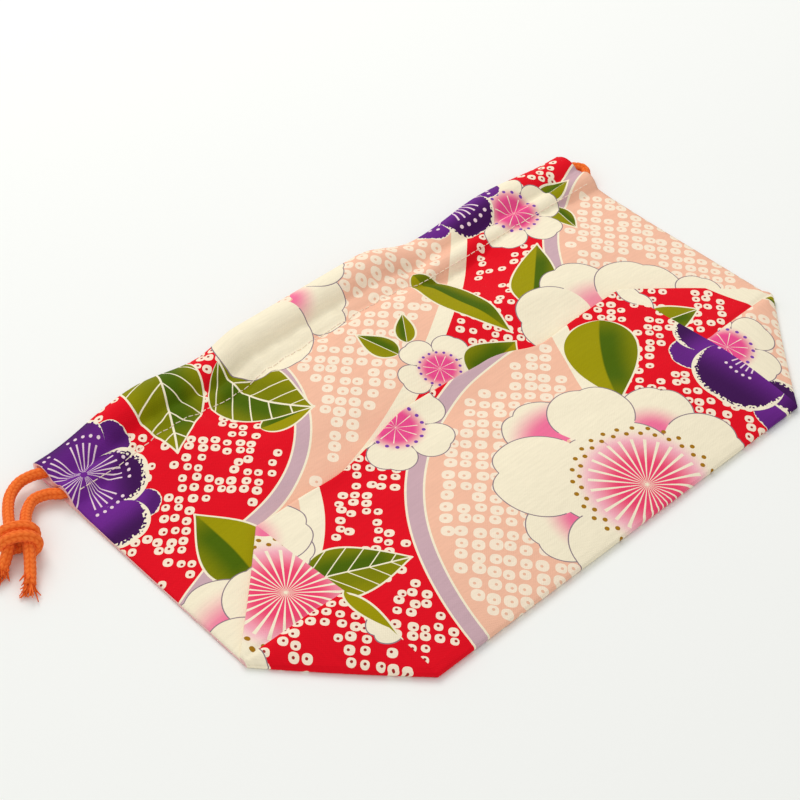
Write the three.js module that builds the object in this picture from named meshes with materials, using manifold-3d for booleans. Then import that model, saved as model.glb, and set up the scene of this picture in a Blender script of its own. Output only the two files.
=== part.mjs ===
// A drawstring lunch bag of printed cotton, lying folded flat with its boxed bottom turned up over the front.
// Millimetres: X runs along the mouth, Y from the folded bottom to the mouth, Z up from the table.

import * as THREE from 'three';
import Module from 'manifold-3d';
import { mergeVertices } from 'three/addons/utils/BufferGeometryUtils.js';

// The bag as it is cut and sewn
const MOUTH_WIDTH = 300; // across the mouth, laid flat
const GUSSET = 95; // depth of the boxed bottom
const HEIGHT = 184; // from the bottom edge to the mouth edge
const CASING_DEPTH = 25; // from the mouth edge to the line of stitches that closes the casing
const CLOTH = 0.7; // cotton and its seam allowance
const SEAM = 3; // sewn margin inside each side edge and side tip

// How it lies: the air left between its layers, and its gathers
const BODY_GAP = 5.6; // between front and back
const FLAP_GAP = 1.2; // inside the turned-up bottom
const FOLD_GAP = 1.6; // inside the fold along the lower edge
const FLAP_SLIT = 0.5; // under the turned-up bottom, outside the bag
const MOUTH_GAP = 5; // between the two casings where the mouth stands open
const LEAST_GAP = 0.6; // between layers that lie on each other
const SIDE_FALL = 55; // how far in from a side edge the front reaches its full height
const ARCH_FALL = 100; // the same, for the arched part below the mouth
const FLAP_LEAN = -6; // how far the turned-up bottom leans to the knot's side
const TIP_RISE = 5; // how far its side tips are drawn up towards the mouth
const TIP_LENGTH = 4; // blunt end of each side tip
const DRAPE_START = -10; // from the turned-up edge, where the front starts to rise to its arch
const DRAPE_LENGTH = 42; // and how far on it gets there
const GATHER_LENGTH = 45; // how far the gathers run down from the casing
const STITCH_DIP = 0.6; // groove that the casing's stitches pull into the cloth
const STITCH_REACH = 3; // half width of that groove
const MOUTH_ROUND = 1.2; // rounding of the mouth edge
const LAYER_SOFTNESS = 1.5; // how softly one layer rides over another

// Crests and dips of the gathered casing: place as a share of half the mouth, height as a share of the arch
const GATHERS = [
  [-1, 0.05],
  [-0.66, 0.95],
  [-0.45, 0.55],
  [-0.31, 1],
  [0.14, 1.05],
  [0.39, 0.08],
  [0.65, 0.5],
  [1, 0.05],
];

// Waves of the turned-up edge: place as a share of half the mouth, distance towards the mouth
const FLAP_WAVES = [
  [-0.6, 0],
  [-0.43, -1.2],
  [-0.09, 7.5],
  [0.17, 6],
  [0.36, -1.6],
  [0.6, 0],
];

// The drawcord
const CORD = 4.8; // diameter
const CORD_CLEARANCE = 0.35;
const CORD_STEPS = 80;
const CORD_SIDES = 10;
const FRONT_RUN_IN = 7.2; // from the mouth edge to the run in the front casing
const BACK_RUN_IN = 21; // from the mouth edge to the run in the back casing
const CASING_ROUND = 9.8; // half width of the front casing's round
const BACK_ROUND = 7; // half width of the back casing's round

// The overhand knot, wrapped tightly round both strands
const KNOT_ACROSS = 17.5;
const KNOT_ALONG = 15;
const KNOT_TALL = 13.6;
const KNOT_TURN = 0.42; // turn of the strands from the Y axis, in radians
const KNOT_WRAPS = 2;
const KNOT_SIDES = 18;
const KNOT_STEPS = 40;
const KNOT_CENTRE = [-27.5, -30.9]; // from the left end of the mouth edge

// Fineness of the cloth
const STATION_STEP = 6.5;
const END_BEND = 1e-6;

// Lines of the folded bag
const HALF = MOUTH_WIDTH / 2;
const MOUTH_Y = HEIGHT / 2;
const LOW_Y = -HEIGHT / 2;
const CREASE_Y = LOW_Y + GUSSET / 2;
const FLAP_Y = LOW_Y + GUSSET;
const CASING_Y = MOUTH_Y - CASING_DEPTH;
const CORNER_X = HALF - GUSSET / 2;
const FRONT_RUN_Y = MOUTH_Y - FRONT_RUN_IN;
const BACK_RUN_Y = MOUTH_Y - BACK_RUN_IN;
const CHANNEL = CORD + 2 * CORD_CLEARANCE;
const ARCH = CHANNEL + CLOTH + MOUTH_GAP;

const { clamp, lerp, smoothstep } = THREE.MathUtils;
const wasm = await Module();
wasm.setup();

// A soft line through crests and dips, level at each of them
function along(line, place) {
  const passed = line.filter((point) => point[0] <= place).length;
  const next = clamp(passed, 1, line.length - 1);
  const [from, low] = line[next - 1];
  const [to, high] = line[next];
  const share = clamp((place - from) / (to - from), 0, 1);
  return lerp(low, high, (1 - Math.cos(Math.PI * share)) / 2);
}

// The larger of two heights, with a soft passage from one to the other
function softMax(a, b) {
  return (a + b + Math.hypot(a - b, LAYER_SOFTNESS)) / 2;
}

// A round swelling across Y: 1 in its middle, 0 from half its width out
function round(y, middle, half) {
  return Math.max(0, 1 - ((y - middle) / half) ** 2);
}

// How far the cloth has risen from the side edge: 0 at the edge, 1 past the fall
function rise(x, fall) {
  return Math.sin((Math.PI / 2) * clamp((HALF - Math.abs(x)) / fall, 0, 1));
}

function beyond(x, corner) {
  return clamp((Math.abs(x) - corner) / (HALF - corner), 0, 1);
}

// The hidden crease across the front, and the two edges of the turned-up bottom, at each place along X
function creaseLine(x) {
  return CREASE_Y + TIP_RISE * beyond(x, CORNER_X);
}

function lowEdge(x) {
  return lerp(LOW_Y, CREASE_Y + TIP_RISE - TIP_LENGTH / 2, beyond(x, CORNER_X));
}

function flapEdge(x) {
  const corner = CORNER_X + FLAP_LEAN * Math.sign(x);
  const wavy = FLAP_Y + along(FLAP_WAVES, (x - FLAP_LEAN) / HALF);
  return lerp(wavy, CREASE_Y + TIP_RISE + TIP_LENGTH / 2, beyond(x, corner));
}

// Heights of the layers, from the table up
function backInside(y) {
  return CLOTH + (CHANNEL + CLOTH) * round(y, BACK_RUN_Y, BACK_ROUND);
}

function frontInside(x, y) {
  const flat = BODY_GAP * rise(x, SIDE_FALL);
  const arch = ARCH * rise(x, ARCH_FALL);
  const drapeStart = FLAP_Y + DRAPE_START;
  const drape = smoothstep(y, drapeStart, drapeStart + DRAPE_LENGTH);
  const gather = smoothstep(y, CASING_Y - GATHER_LENGTH, CASING_Y);
  const lift = lerp(flat, arch, drape) + (ARCH * along(GATHERS, x / HALF) - arch) * gather;
  const stitches = STITCH_DIP * round(y, CASING_Y, STITCH_REACH);
  return softMax(CLOTH + lift - stitches, backInside(y) + LEAST_GAP);
}

function frontOutside(x, y) {
  return frontInside(x, y) + CLOTH + (CHANNEL + CLOTH) * round(y, FRONT_RUN_Y, CASING_ROUND);
}

function flapThickness(x) {
  return 2 * CLOTH + FLAP_GAP * rise(x, SIDE_FALL);
}

function foldThickness(x) {
  return 2 * CLOTH + FOLD_GAP * rise(x, SIDE_FALL);
}

function flapOutside(x, y) {
  const crease = creaseLine(x);
  const top = frontOutside(x, Math.max(y, crease)) + FLAP_SLIT + flapThickness(x);
  const share = clamp((y - lowEdge(x)) / (crease - lowEdge(x)), 0, 1);
  return lerp(foldThickness(x), top, Math.sin((Math.PI / 2) * share));
}

// Places from one Y to another, both ends included
function spread(from, to, count) {
  return Array.from({ length: count }, (_, i) => lerp(from, to, i / (count - 1)));
}

// Half a turn of a folded edge, from its lower to its upper face, bulging to the side given by its sign
function foldedEdge(edge, bottom, thickness, side) {
  const r = thickness / 2;
  return [-0.5, -0.25, 0, 0.25, 0.5].map((turn) => {
    const angle = Math.PI * turn;
    return [edge - side * (r - r * Math.cos(angle)), bottom + r + r * Math.sin(angle)];
  });
}

// Places down through the casing, on its outside and on its inside, where both layers need the same ones
const CASING_PLACES = spread(MOUTH_Y - MOUTH_ROUND, CASING_Y, 12);
const INSIDE_PLACES = [
  ...spread(MOUTH_Y - MOUTH_ROUND, BACK_RUN_Y + BACK_ROUND, 5).slice(0, -1),
  ...spread(BACK_RUN_Y + BACK_ROUND, BACK_RUN_Y - BACK_ROUND, 9),
];

// Outline of the whole folded bag at one place along X, with its inside filled
function outerSection(x) {
  const low = lowEdge(x);
  const crease = creaseLine(x);
  const edge = flapEdge(x);
  const front = (y) => [y, frontOutside(x, y)];
  const underFlap = (y) => [y, frontOutside(x, y) + FLAP_SLIT];
  const flap = flapThickness(x);
  const fold = foldThickness(x);
  const flapBottom = frontOutside(x, edge) + FLAP_SLIT;
  const mouthTop = frontOutside(x, MOUTH_Y - MOUTH_ROUND);
  return [
    [MOUTH_Y, MOUTH_ROUND],
    [MOUTH_Y, mouthTop - MOUTH_ROUND],
    ...CASING_PLACES.map(front),
    ...spread(CASING_Y - STITCH_REACH, edge, 7).map(front),
    ...spread(edge, crease + FLAP_SLIT, 4).slice(1).map(front),
    [crease, frontOutside(x, crease) + FLAP_SLIT / 2],
    ...spread(crease + FLAP_SLIT, edge - flap / 2, 4).slice(0, -1).map(underFlap),
    ...foldedEdge(edge, flapBottom, flap, 1),
    ...spread(edge - flap / 2, low + fold / 2, 11).slice(1, -1).map((y) => [y, flapOutside(x, y)]),
    ...foldedEdge(low, 0, fold, -1).reverse(),
    [MOUTH_Y - MOUTH_ROUND, 0],
  ];
}

// Outline of the space inside the bag, open past the mouth
function innerSection(x) {
  const low = lowEdge(x) + lerp(CLOTH, SEAM, beyond(x, CORNER_X));
  const crease = creaseLine(x);
  const edge = flapEdge(x) - CLOTH;
  const past = MOUTH_Y + MOUTH_ROUND;
  const fold = foldThickness(x) - 2 * CLOTH;
  const slitTop = (y) => frontOutside(x, y) + FLAP_SLIT + CLOTH;
  const flapInside = (y) => flapOutside(x, y) - CLOTH;
  const lastPlace = INSIDE_PLACES.at(-1);
  return [
    [past, frontInside(x, MOUTH_Y)],
    ...INSIDE_PLACES.map((y) => [y, frontInside(x, y)]),
    ...spread(lastPlace, crease, 8).slice(1).map((y) => [y, frontInside(x, y)]),
    [crease - CLOTH, (frontInside(x, crease) + slitTop(crease)) / 2],
    ...spread(crease, edge - fold / 2, 3).map((y) => [y, slitTop(y)]),
    [edge, (slitTop(edge) + flapInside(edge)) / 2],
    ...spread(edge - fold / 2, low + fold / 2, 9).map((y) => [y, flapInside(y)]),
    [low, CLOTH + fold / 2],
    [low + fold / 2, CLOTH],
    ...INSIDE_PLACES.map((y) => [y, backInside(y)]).reverse(),
    [past, backInside(MOUTH_Y)],
  ];
}

// A closed skin over outlines of Y and Z, counter-clockwise seen from +X, at increasing places along X
function loft(places, section) {
  const outlines = places.map(section);
  const count = outlines[0].length;
  const position = outlines.flatMap((outline, i) => outline.flatMap(([y, z]) => [places[i], y, z]));
  const index = [];
  for (let i = 0; i + 1 < places.length; i += 1) {
    for (let j = 0; j < count; j += 1) {
      const a = i * count + j;
      const b = i * count + ((j + 1) % count);
      index.push(a, b, a + count, b, b + count, a + count);
    }
  }
  // The end faces are laid out slightly bent, so that corners in one line keep triangles of their own
  for (const [end, flip] of [[0, true], [places.length - 1, false]]) {
    const contour = outlines[end].map(([y, z]) => new THREE.Vector2(y, z - END_BEND * y * y));
    for (const face of THREE.ShapeUtils.triangulateShape(contour, [])) {
      const corners = face.map((corner) => end * count + corner);
      index.push(...(flip ? corners.reverse() : corners));
    }
  }
  const geometry = new THREE.BufferGeometry();
  geometry.setAttribute('position', new THREE.Float32BufferAttribute(position, 3));
  geometry.setIndex(index);
  return geometry;
}

function toSolid(geometry) {
  geometry.deleteAttribute('normal');
  geometry.deleteAttribute('uv');
  const merged = mergeVertices(geometry);
  const vertProperties = new Float32Array(merged.attributes.position.array);
  const triVerts = new Uint32Array(merged.index.array);
  return new wasm.Manifold(new wasm.Mesh({ numProp: 3, vertProperties, triVerts }));
}

function toGeometry(solid) {
  const { vertProperties, triVerts } = solid.getMesh();
  const geometry = new THREE.BufferGeometry();
  geometry.setAttribute('position', new THREE.BufferAttribute(vertProperties, 3));
  geometry.setIndex(new THREE.BufferAttribute(triVerts, 1));
  geometry.computeVertexNormals();
  return geometry;
}

// Places along X: even steps, and one at each corner of the turned-up bottom
function stations(half) {
  const count = 2 * Math.round(half / STATION_STEP) + 1;
  const corners = [CORNER_X, -CORNER_X, CORNER_X + FLAP_LEAN, -CORNER_X + FLAP_LEAN];
  const even = spread(-half, half, count);
  const clear = even.filter((x) => corners.every((corner) => Math.abs(x - corner) > STATION_STEP / 3));
  return [...clear, ...corners].sort((a, b) => a - b);
}

// The drawcord's route: from one tail through the knot, along the front casing, round the far end of the
// mouth, back along the back casing and through the knot again to the other tail
function cordRoute() {
  const frontRun = (x) => [x, FRONT_RUN_Y, frontInside(x, FRONT_RUN_Y) + CLOTH + CHANNEL / 2];
  const backHeight = CLOTH + CHANNEL / 2;
  const left = -HALF;
  const right = HALF;
  const gathered = [
    -0.985, -0.9, -0.82, -0.74, -0.66, -0.555, -0.45, -0.38, -0.31, -0.16, 0,
    0.14, 0.2, 0.265, 0.33, 0.39, 0.46, 0.55, 0.65, 0.75, 0.85, 0.94,
  ];
  return [
    [left - 40, MOUTH_Y - 36.5, 2.6],
    [left - 35.5, MOUTH_Y - 33.5, 4.6],
    [left - 30.6, MOUTH_Y - 29.5, 6.8],
    [left - 26.4, MOUTH_Y - 22.8, 6.8],
    [left - 21.6, MOUTH_Y - 14.6, 6],
    [left - 16.4, MOUTH_Y - 8.4, 5.6],
    [left - 10, MOUTH_Y - 5, 5.5],
    [left - 4.5, MOUTH_Y - 5.2, 5.6],
    ...gathered.map((share) => frontRun(share * HALF)),
    [right - 0.5, FRONT_RUN_Y - 1.4, backHeight + 1.5],
    [right + 4.6, (FRONT_RUN_Y + BACK_RUN_Y) / 2, backHeight + 0.8],
    [right - 0.5, BACK_RUN_Y + 1.4, backHeight],
    [right - 10, BACK_RUN_Y, backHeight],
    ...[0.7, 0.35, 0, -0.35, -0.7].map((share) => [share * HALF, BACK_RUN_Y, backHeight]),
    [left + 8, BACK_RUN_Y, backHeight],
    [left + 0.5, BACK_RUN_Y + 1.5, backHeight],
    [left - 4.6, BACK_RUN_Y + 5, 3.6],
    [left - 10.2, MOUTH_Y - 14.8, 3.6],
    [left - 15.4, MOUTH_Y - 18.2, 4.2],
    [left - 20, MOUTH_Y - 24, 5.6],
    [left - 24.4, MOUTH_Y - 32, 6.8],
    [left - 28.4, MOUTH_Y - 39, 6.2],
    [left - 32.2, MOUTH_Y - 44.5, 4.2],
    [left - 36, MOUTH_Y - 49.5, 2.6],
  ].map(([x, y, z]) => new THREE.Vector3(x, y, z));
}

// A round cord along a list of points
function sweep(points, diameter, steps) {
  const section = new THREE.Shape().absarc(0, 0, diameter / 2, 0, 2 * Math.PI);
  return new THREE.ExtrudeGeometry(section, {
    extrudePath: new THREE.CatmullRomCurve3(points),
    steps,
    curveSegments: CORD_SIDES / 2,
    bevelEnabled: false,
  });
}

// The knot lies along Y, flattened a little, and is then turned and put in its place
function knotPlaced(geometry) {
  const [x, y] = KNOT_CENTRE;
  geometry.rotateZ(-KNOT_TURN);
  geometry.translate(x - HALF, y + MOUTH_Y, KNOT_TALL / 2);
  return toSolid(geometry);
}

function knotCore() {
  const core = new THREE.SphereGeometry(0.5, KNOT_SIDES, KNOT_SIDES / 2);
  core.scale(KNOT_ACROSS - CORD, KNOT_ALONG, KNOT_TALL - CORD);
  return knotPlaced(core);
}

function knotWraps() {
  const points = spread(0, 1, KNOT_STEPS + 1).map((share) => {
    const angle = 2 * Math.PI * KNOT_WRAPS * share;
    const across = -((KNOT_ACROSS - CORD) / 2) * Math.sin(angle);
    const up = -((KNOT_TALL - CORD) / 2) * Math.cos(angle);
    return new THREE.Vector3(across, (KNOT_ALONG - CORD) * (0.5 - share), up);
  });
  return knotPlaced(sweep(points, CORD, KNOT_STEPS));
}

// The pieces
const route = cordRoute();
const channel = toSolid(sweep(route, CHANNEL, CORD_STEPS));
const filled = toSolid(loft(stations(HALF), outerSection));
const inside = toSolid(loft(stations(HALF - SEAM), innerSection));
const body = filled.subtract(inside).subtract(channel);
const knot = knotCore().add(knotWraps()).subtract(channel);

const printedCotton = new THREE.MeshStandardMaterial({ color: 0xd3182d, roughness: 0.85, metalness: 0 });
const orangeCotton = new THREE.MeshStandardMaterial({ color: 0xf06e28, roughness: 0.9, metalness: 0 });

const bag = new THREE.Group();
function addPiece(name, geometry, material) {
  const mesh = new THREE.Mesh(geometry, material);
  mesh.name = name;
  bag.add(mesh);
}
addPiece('bag_body', toGeometry(body), printedCotton);
addPiece('drawcord', sweep(route, CORD, CORD_STEPS), orangeCotton);
addPiece('drawcord_knot', toGeometry(knot), orangeCotton);

export default bag;
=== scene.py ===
"""A bento bag of printed cotton, lying folded flat with its orange drawcord knotted at one end."""

import math

import bpy
import numpy as np
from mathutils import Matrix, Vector, geometry


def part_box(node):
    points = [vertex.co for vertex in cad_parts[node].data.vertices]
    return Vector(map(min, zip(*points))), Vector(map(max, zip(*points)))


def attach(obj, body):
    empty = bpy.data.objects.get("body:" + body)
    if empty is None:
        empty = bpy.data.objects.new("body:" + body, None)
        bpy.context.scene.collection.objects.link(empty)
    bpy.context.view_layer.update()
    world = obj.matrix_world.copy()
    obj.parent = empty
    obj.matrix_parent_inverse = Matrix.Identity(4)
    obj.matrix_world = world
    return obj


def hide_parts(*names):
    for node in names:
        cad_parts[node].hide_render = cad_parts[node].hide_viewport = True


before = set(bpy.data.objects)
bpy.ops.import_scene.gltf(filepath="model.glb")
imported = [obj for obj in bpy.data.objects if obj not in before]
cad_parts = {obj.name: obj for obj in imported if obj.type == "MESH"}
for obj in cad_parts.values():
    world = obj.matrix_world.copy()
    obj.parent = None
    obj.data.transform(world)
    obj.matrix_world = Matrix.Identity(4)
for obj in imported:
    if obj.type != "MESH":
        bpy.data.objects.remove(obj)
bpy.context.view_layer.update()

# Sizes are in millimetres up to the mesh, which is in metres
MM = 0.001

# The bag, from its solid and as it is sewn
LOWEST, HIGHEST = (np.array(corner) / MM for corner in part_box("bag_body"))
HALF, MOUTH_Y = HIGHEST[:2]
LOW_Y = LOWEST[1]
HEIGHT = MOUTH_Y - LOW_Y
GUSSET = 95
CASING_DEPTH = 25
CLOTH = 0.7
CREASE_Y = LOW_Y + GUSSET / 2
FLAP_Y = LOW_Y + GUSSET
CASING_Y = MOUTH_Y - CASING_DEPTH
CORNER_X = HALF - GUSSET / 2
PRINT_TURN = HEIGHT + GUSSET + 50
FOLD_IN = 140

# How it lies, as in its solid
BODY_GAP = 5.6
FLAP_GAP = 1.2
FOLD_GAP = 1.6
FLAP_SLIT = 0.5
MOUTH_GAP = 5
LEAST_GAP = 0.6
SIDE_FALL = 55
ARCH_FALL = 100
FLAP_LEAN = -6
TIP_RISE = 5
TIP_LENGTH = 4
DRAPE_START = -10
DRAPE_LENGTH = 42
GATHER_LENGTH = 45
STITCH_DIP = 0.6
STITCH_REACH = 3
LAYER_SOFTNESS = 1.5
MOUTH_ROUND = 1.6
HEM_ARC = 4
SEAM = 3
# Lines along the mouth: a place, from -1 at the knot's end to 1, and how far up or out it goes there
GATHERS = [
    (-1, 0.05), (-0.66, 0.95), (-0.45, 0.55), (-0.31, 1),
    (0.14, 1.05), (0.39, 0.08), (0.65, 0.5), (1, 0.05),
]
FLAP_WAVES = [(-0.6, 0), (-0.43, -1.2), (-0.09, 7.5), (0.17, 6), (0.36, -1.6), (0.6, 0)]

# Finer than the solid: sewn sides, puckers, the fold under the cord's run, rumples, corner grooves.
# Waves of puckers have a length, a start and a share; those of rumples two lengths and a start
SIDE_SEAM = 7
SIDE_SEAM_END = 14
SEWN_SLIT = 0.1
PUCKER_RISE = 0.42
PUCKER_REACH = 11
PUCKER_WAVES = ((13.5, 0.7, 1), (8.1, 2.1, 0.6), (5.3, 4.0, 0.35))
SEAM_VALLEY = 1.5
SEAM_VALLEY_WIDE = 5.5
SEAM_VALLEY_DEPTHS = [
    (-1, 0), (-0.8, 0.5), (-0.5, 0.7), (-0.3, 1), (0, 0.7), (0.25, 1.5), (0.45, 0.3), (1, 0.1),
]
CASING_FOLD = 1.1
CASING_FOLD_WIDE = 1.1
CASING_FOLD_AWAY = 8.6
CASING_FOLD_ENDS = 12
CASING_FOLD_DEPTHS = [(-1, 0.6), (-0.8, 1), (-0.5, 0.8), (-0.32, 0.3), (0.35, 0.2), (1, 0.2)]
RUMPLE_RISE = 0.3
RUMPLE_WAVES = ((61, 23, 0.4), (37, -44, 1.9), (-29, 71, 3.3), (83, 31, 5.1))
CORNER_GROOVE = 0.7
GROOVE_REACH = 1.5

# The drawcord, as in its solid
CORD = 4.8
CHANNEL = 5.5
FRONT_RUN_Y = MOUTH_Y - 7.2
BACK_RUN_Y = MOUTH_Y - 21
CASING_ROUND = 9.8
BACK_ROUND = 7
ARCH = CHANNEL + CLOTH + MOUTH_GAP
KNOT_ACROSS = 17.5
KNOT_ALONG = 15
KNOT_TALL = 13.6
KNOT_TURN = 0.42
KNOT_WRAPS = 2
KNOT_STEPS = 200
KNOT_CENTRE = (-27.5, -30.9)
ROUTE_STEPS = 24

# Its braid: columns of small chevrons
BRAID_COLUMNS = 6
BRAID_SIDES = 36
BRAID_PITCH = 2.1
BRAID_SLANT = 0.55
BRAID_RELIEF = 0.42
BRAID_GROOVE = 0.55
# The caps at the cut ends take half of the painted groove shade
BRAID_END_RELIEF = 0.5
BRAID_STEP = 0.42
HIDDEN_STEP = 3

# Open ends of the casings
END_BEND = 1e-6
CASING_MOUTH_DEPTH = 14
CASING_MOUTH_SIDES = 24
FRONT_MOUTH = (4.6, 2.75)
BACK_MOUTH = (3.3, 2.75)

# Fineness of the cloth: its stations across, and its rows along each stretch
STATION_STEP = 1.5
EDGE_ROWS = 9
CASING_ROWS = 32
FRONT_ROWS = 50
HIDDEN_ROWS = 12
FLAP_ROWS = 36
BACK_ROWS = 22
BACK_CASING_ROWS = 8
BACK_EDGE_ROWS = 5
IN_CASING_ROWS = 30
IN_BACK_ROWS = 14
IN_FLAP_ROWS = 24
IN_SLIT_ROWS = 10
IN_FRONT_ROWS = 24

# Flat map of the cloth: what shows on the left, the rest on the right, the cut ends in small cells above
SHOWN_LEFT, SHOWN_WIDE = 0.005, 0.61
REST_LEFT, REST_WIDE = 0.63, 0.36
MAP_MARGIN, MAP_TALL = 0.01, 0.93
CELLS_ACROSS = 120
CELL = (0.0082, 0.004)
CELLS_AT = (0.005, 0.955)
CELL_CORNERS = [(0.1, 0.1), (0.8, 0.1), (0.8, 0.8), (0.1, 0.8)]

# Loose threads at the cord's cut ends
FRAY_SEED = 7
FRAY_THREADS = 60
FRAY_STEPS = 8
FRAY_SIDES = 5
FRAY_LEAD = 6
FRAY_WIDE = CORD / 5
FRAY_TAPER = 0.6
FRAY_ROOT = 2
FRAY_SPREAD = 0.3
FRAY_CURL = 0.25
FRAY_LENGTH = (3, 5.2)
FRAY_THICK = 1
# Each loose thread's tone between the painted groove shade and the full orange, chosen at random
FRAY_RELIEF = (0.4, 1)

# The line of sewing thread along the casing
THREAD = 0.45
THREAD_SIDES = 6
THREAD_ROUND = THREAD / 5
THREAD_PROUD = THREAD / 6
STITCH = 2.4
STITCH_MARGIN = 6
STITCH_PITCH = 3.2


def mesh_piece(name, points, faces):
    """A piece from points in millimetres."""
    mesh = bpy.data.meshes.new(name)
    mesh.from_pydata((np.asarray(points) * MM).tolist(), [], faces)
    piece = bpy.data.objects.new(name, mesh)
    bpy.context.scene.collection.objects.link(piece)
    mesh.polygons.foreach_set("use_smooth", [True] * len(mesh.polygons))
    mesh.update()
    return piece


def soft_line(line, place):
    """A soft line through crests and dips, level at each of them."""
    places, heights = np.array(line).T
    after = np.clip(np.searchsorted(places, place, side="right"), 1, len(places) - 1)
    share = np.clip((place - places[after - 1]) / (places[after] - places[after - 1]), 0, 1)
    return heights[after - 1] + (heights[after] - heights[after - 1]) * (1 - np.cos(np.pi * share)) / 2


def soft_step(value, start, end):
    """From 0 at a start to 1 at an end, level at both."""
    share = np.clip((value - start) / (end - start), 0, 1)
    return share * share * (3 - 2 * share)


def soft_max(a, b, softness):
    """The larger of two, with a soft bend where they meet."""
    return (a + b + np.hypot(a - b, softness)) / 2


def swelling(y, middle, half):
    """1 along the middle of a round ridge, down to 0 at its sides."""
    return np.maximum(0, 1 - ((y - middle) / half) ** 2)


def risen(x, fall):
    """0 at the sewn sides, up to 1 where they are a fall away."""
    return np.sin(np.pi / 2 * np.clip((HALF - np.abs(x)) / fall, 0, 1))


def beyond(x):
    """How far out on a side corner: 0 where it starts, 1 at its tip."""
    return np.clip((np.abs(x) - CORNER_X) / (HALF - CORNER_X), 0, 1)


def mix(a, b, share):
    return a + (b - a) * share


# Lines of the turned-up bottom at each place along the mouth
def crease_line(x):
    return CREASE_Y + TIP_RISE * beyond(x)


def low_edge(x):
    return mix(LOW_Y, CREASE_Y + TIP_RISE - TIP_LENGTH / 2, beyond(x))


def flap_edge(x):
    wavy = FLAP_Y + soft_line(FLAP_WAVES, x / HALF)
    return mix(wavy, CREASE_Y + TIP_RISE + TIP_LENGTH / 2, beyond(x))


def lean(x, y):
    """How far the turned-up bottom lies to the knot's side."""
    return FLAP_LEAN * np.clip((y - LOW_Y) / GUSSET, 0, 1) * (1 - beyond(x))


# Heights of the layers
def rumples(x, y):
    waves = sum(np.sin(2 * np.pi * (x / a + y / b) + start) for a, b, start in RUMPLE_WAVES)
    return RUMPLE_RISE * waves / 2 * risen(x, SIDE_FALL)


def puckers(x, y):
    waves = sum(share * np.sin(2 * np.pi * x / length + start) for length, start, share in PUCKER_WAVES)
    near = np.exp(-(((y - CASING_Y) / PUCKER_REACH) ** 2))
    return PUCKER_RISE * waves * near * risen(x, SIDE_FALL)


def back_inside(y):
    return CLOTH + (CHANNEL + CLOTH) * swelling(y, BACK_RUN_Y, BACK_ROUND)


def apart(x, y):
    """1 where the layers lie apart, down to 0 where the sides are sewn together, below the casing."""
    return np.maximum(risen(x, SIDE_SEAM), soft_step(y, CASING_Y - SIDE_SEAM_END, CASING_Y))


def front_inside(x, y):
    flat = BODY_GAP * risen(x, SIDE_FALL)
    arch = ARCH * risen(x, ARCH_FALL)
    drape_start = FLAP_Y + DRAPE_START
    drape = soft_step(y, drape_start, drape_start + DRAPE_LENGTH)
    gather = soft_step(y, CASING_Y - GATHER_LENGTH, CASING_Y)
    lift = mix(flat, arch, drape) + (ARCH * soft_line(GATHERS, x / HALF) - arch) * gather
    stitches = STITCH_DIP * swelling(y, CASING_Y, STITCH_REACH)
    soft = puckers(x, y) + rumples(x, y) * (1 - gather)
    valley = SEAM_VALLEY * soft_line(SEAM_VALLEY_DEPTHS, x / HALF)
    drawn_in = valley * np.exp(-(((y - CASING_Y) / SEAM_VALLEY_WIDE) ** 2))
    own = CLOTH + lift - stitches - drawn_in + soft
    return soft_max(own, back_inside(y) + LEAST_GAP * apart(x, y), LAYER_SOFTNESS * apart(x, y))


def casing_fold(x, y):
    """The narrow fold in the casing, between the cord's run and the stitches."""
    near = np.exp(-(((y - FRONT_RUN_Y + CASING_FOLD_AWAY) / CASING_FOLD_WIDE) ** 2))
    return CASING_FOLD * near * soft_line(CASING_FOLD_DEPTHS, x / HALF) * risen(x, CASING_FOLD_ENDS)


def front_outside(x, y):
    cased = (CHANNEL + CLOTH) * swelling(y, FRONT_RUN_Y, CASING_ROUND)
    return front_inside(x, y) + CLOTH + cased - casing_fold(x, y)


def slit(x):
    """Gap between the front and the turned-up bottom, nearly shut at the sewn sides."""
    return FLAP_SLIT * mix(SEWN_SLIT, 1, risen(x, SIDE_SEAM))


def flap_thickness(x):
    return 2 * CLOTH + FLAP_GAP * risen(x, SIDE_FALL)


def fold_thickness(x):
    return 2 * CLOTH + FOLD_GAP * risen(x, SIDE_FALL)


def flap_outside(x, y):
    crease = crease_line(x)
    top = front_outside(x, np.maximum(y, crease)) + slit(x) + flap_thickness(x)
    share = np.clip((y - low_edge(x)) / (crease - low_edge(x)), 0, 1)
    sewn = np.clip((np.abs(x) - CORNER_X) / SEAM, 0, 1) * np.clip((HALF - np.abs(x)) / SEAM, 0, 1)
    groove = CORNER_GROOVE * sewn * np.exp(-(((y - crease) / GROOVE_REACH) ** 2))
    return mix(fold_thickness(x), top, np.sin(np.pi / 2 * share)) - groove


def stations():
    """Places along the mouth, with one at each corner of the turned-up bottom."""
    middle = np.linspace(-CORNER_X, CORNER_X, 2 * round(CORNER_X / STATION_STEP) + 1)
    side = np.linspace(CORNER_X, HALF, round((HALF - CORNER_X) / STATION_STEP) + 1)[1:]
    return np.concatenate([-side[::-1], middle, side])


def spread(start, end, count):
    """Rows of places from one line to another, for every station."""
    start, end = np.broadcast_arrays(np.atleast_1d(start), np.atleast_1d(end))
    return start[None] + (end - start)[None] * np.linspace(0, 1, count)[:, None]


def turn(middle_y, middle_z, across, up, count, first, last):
    """Rows of a rounded edge, from one angle to another, in half turns."""
    angle = np.pi * np.linspace(first, last, count)[:, None]
    return middle_y + across * np.cos(angle), middle_z + up * np.sin(angle)


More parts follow.
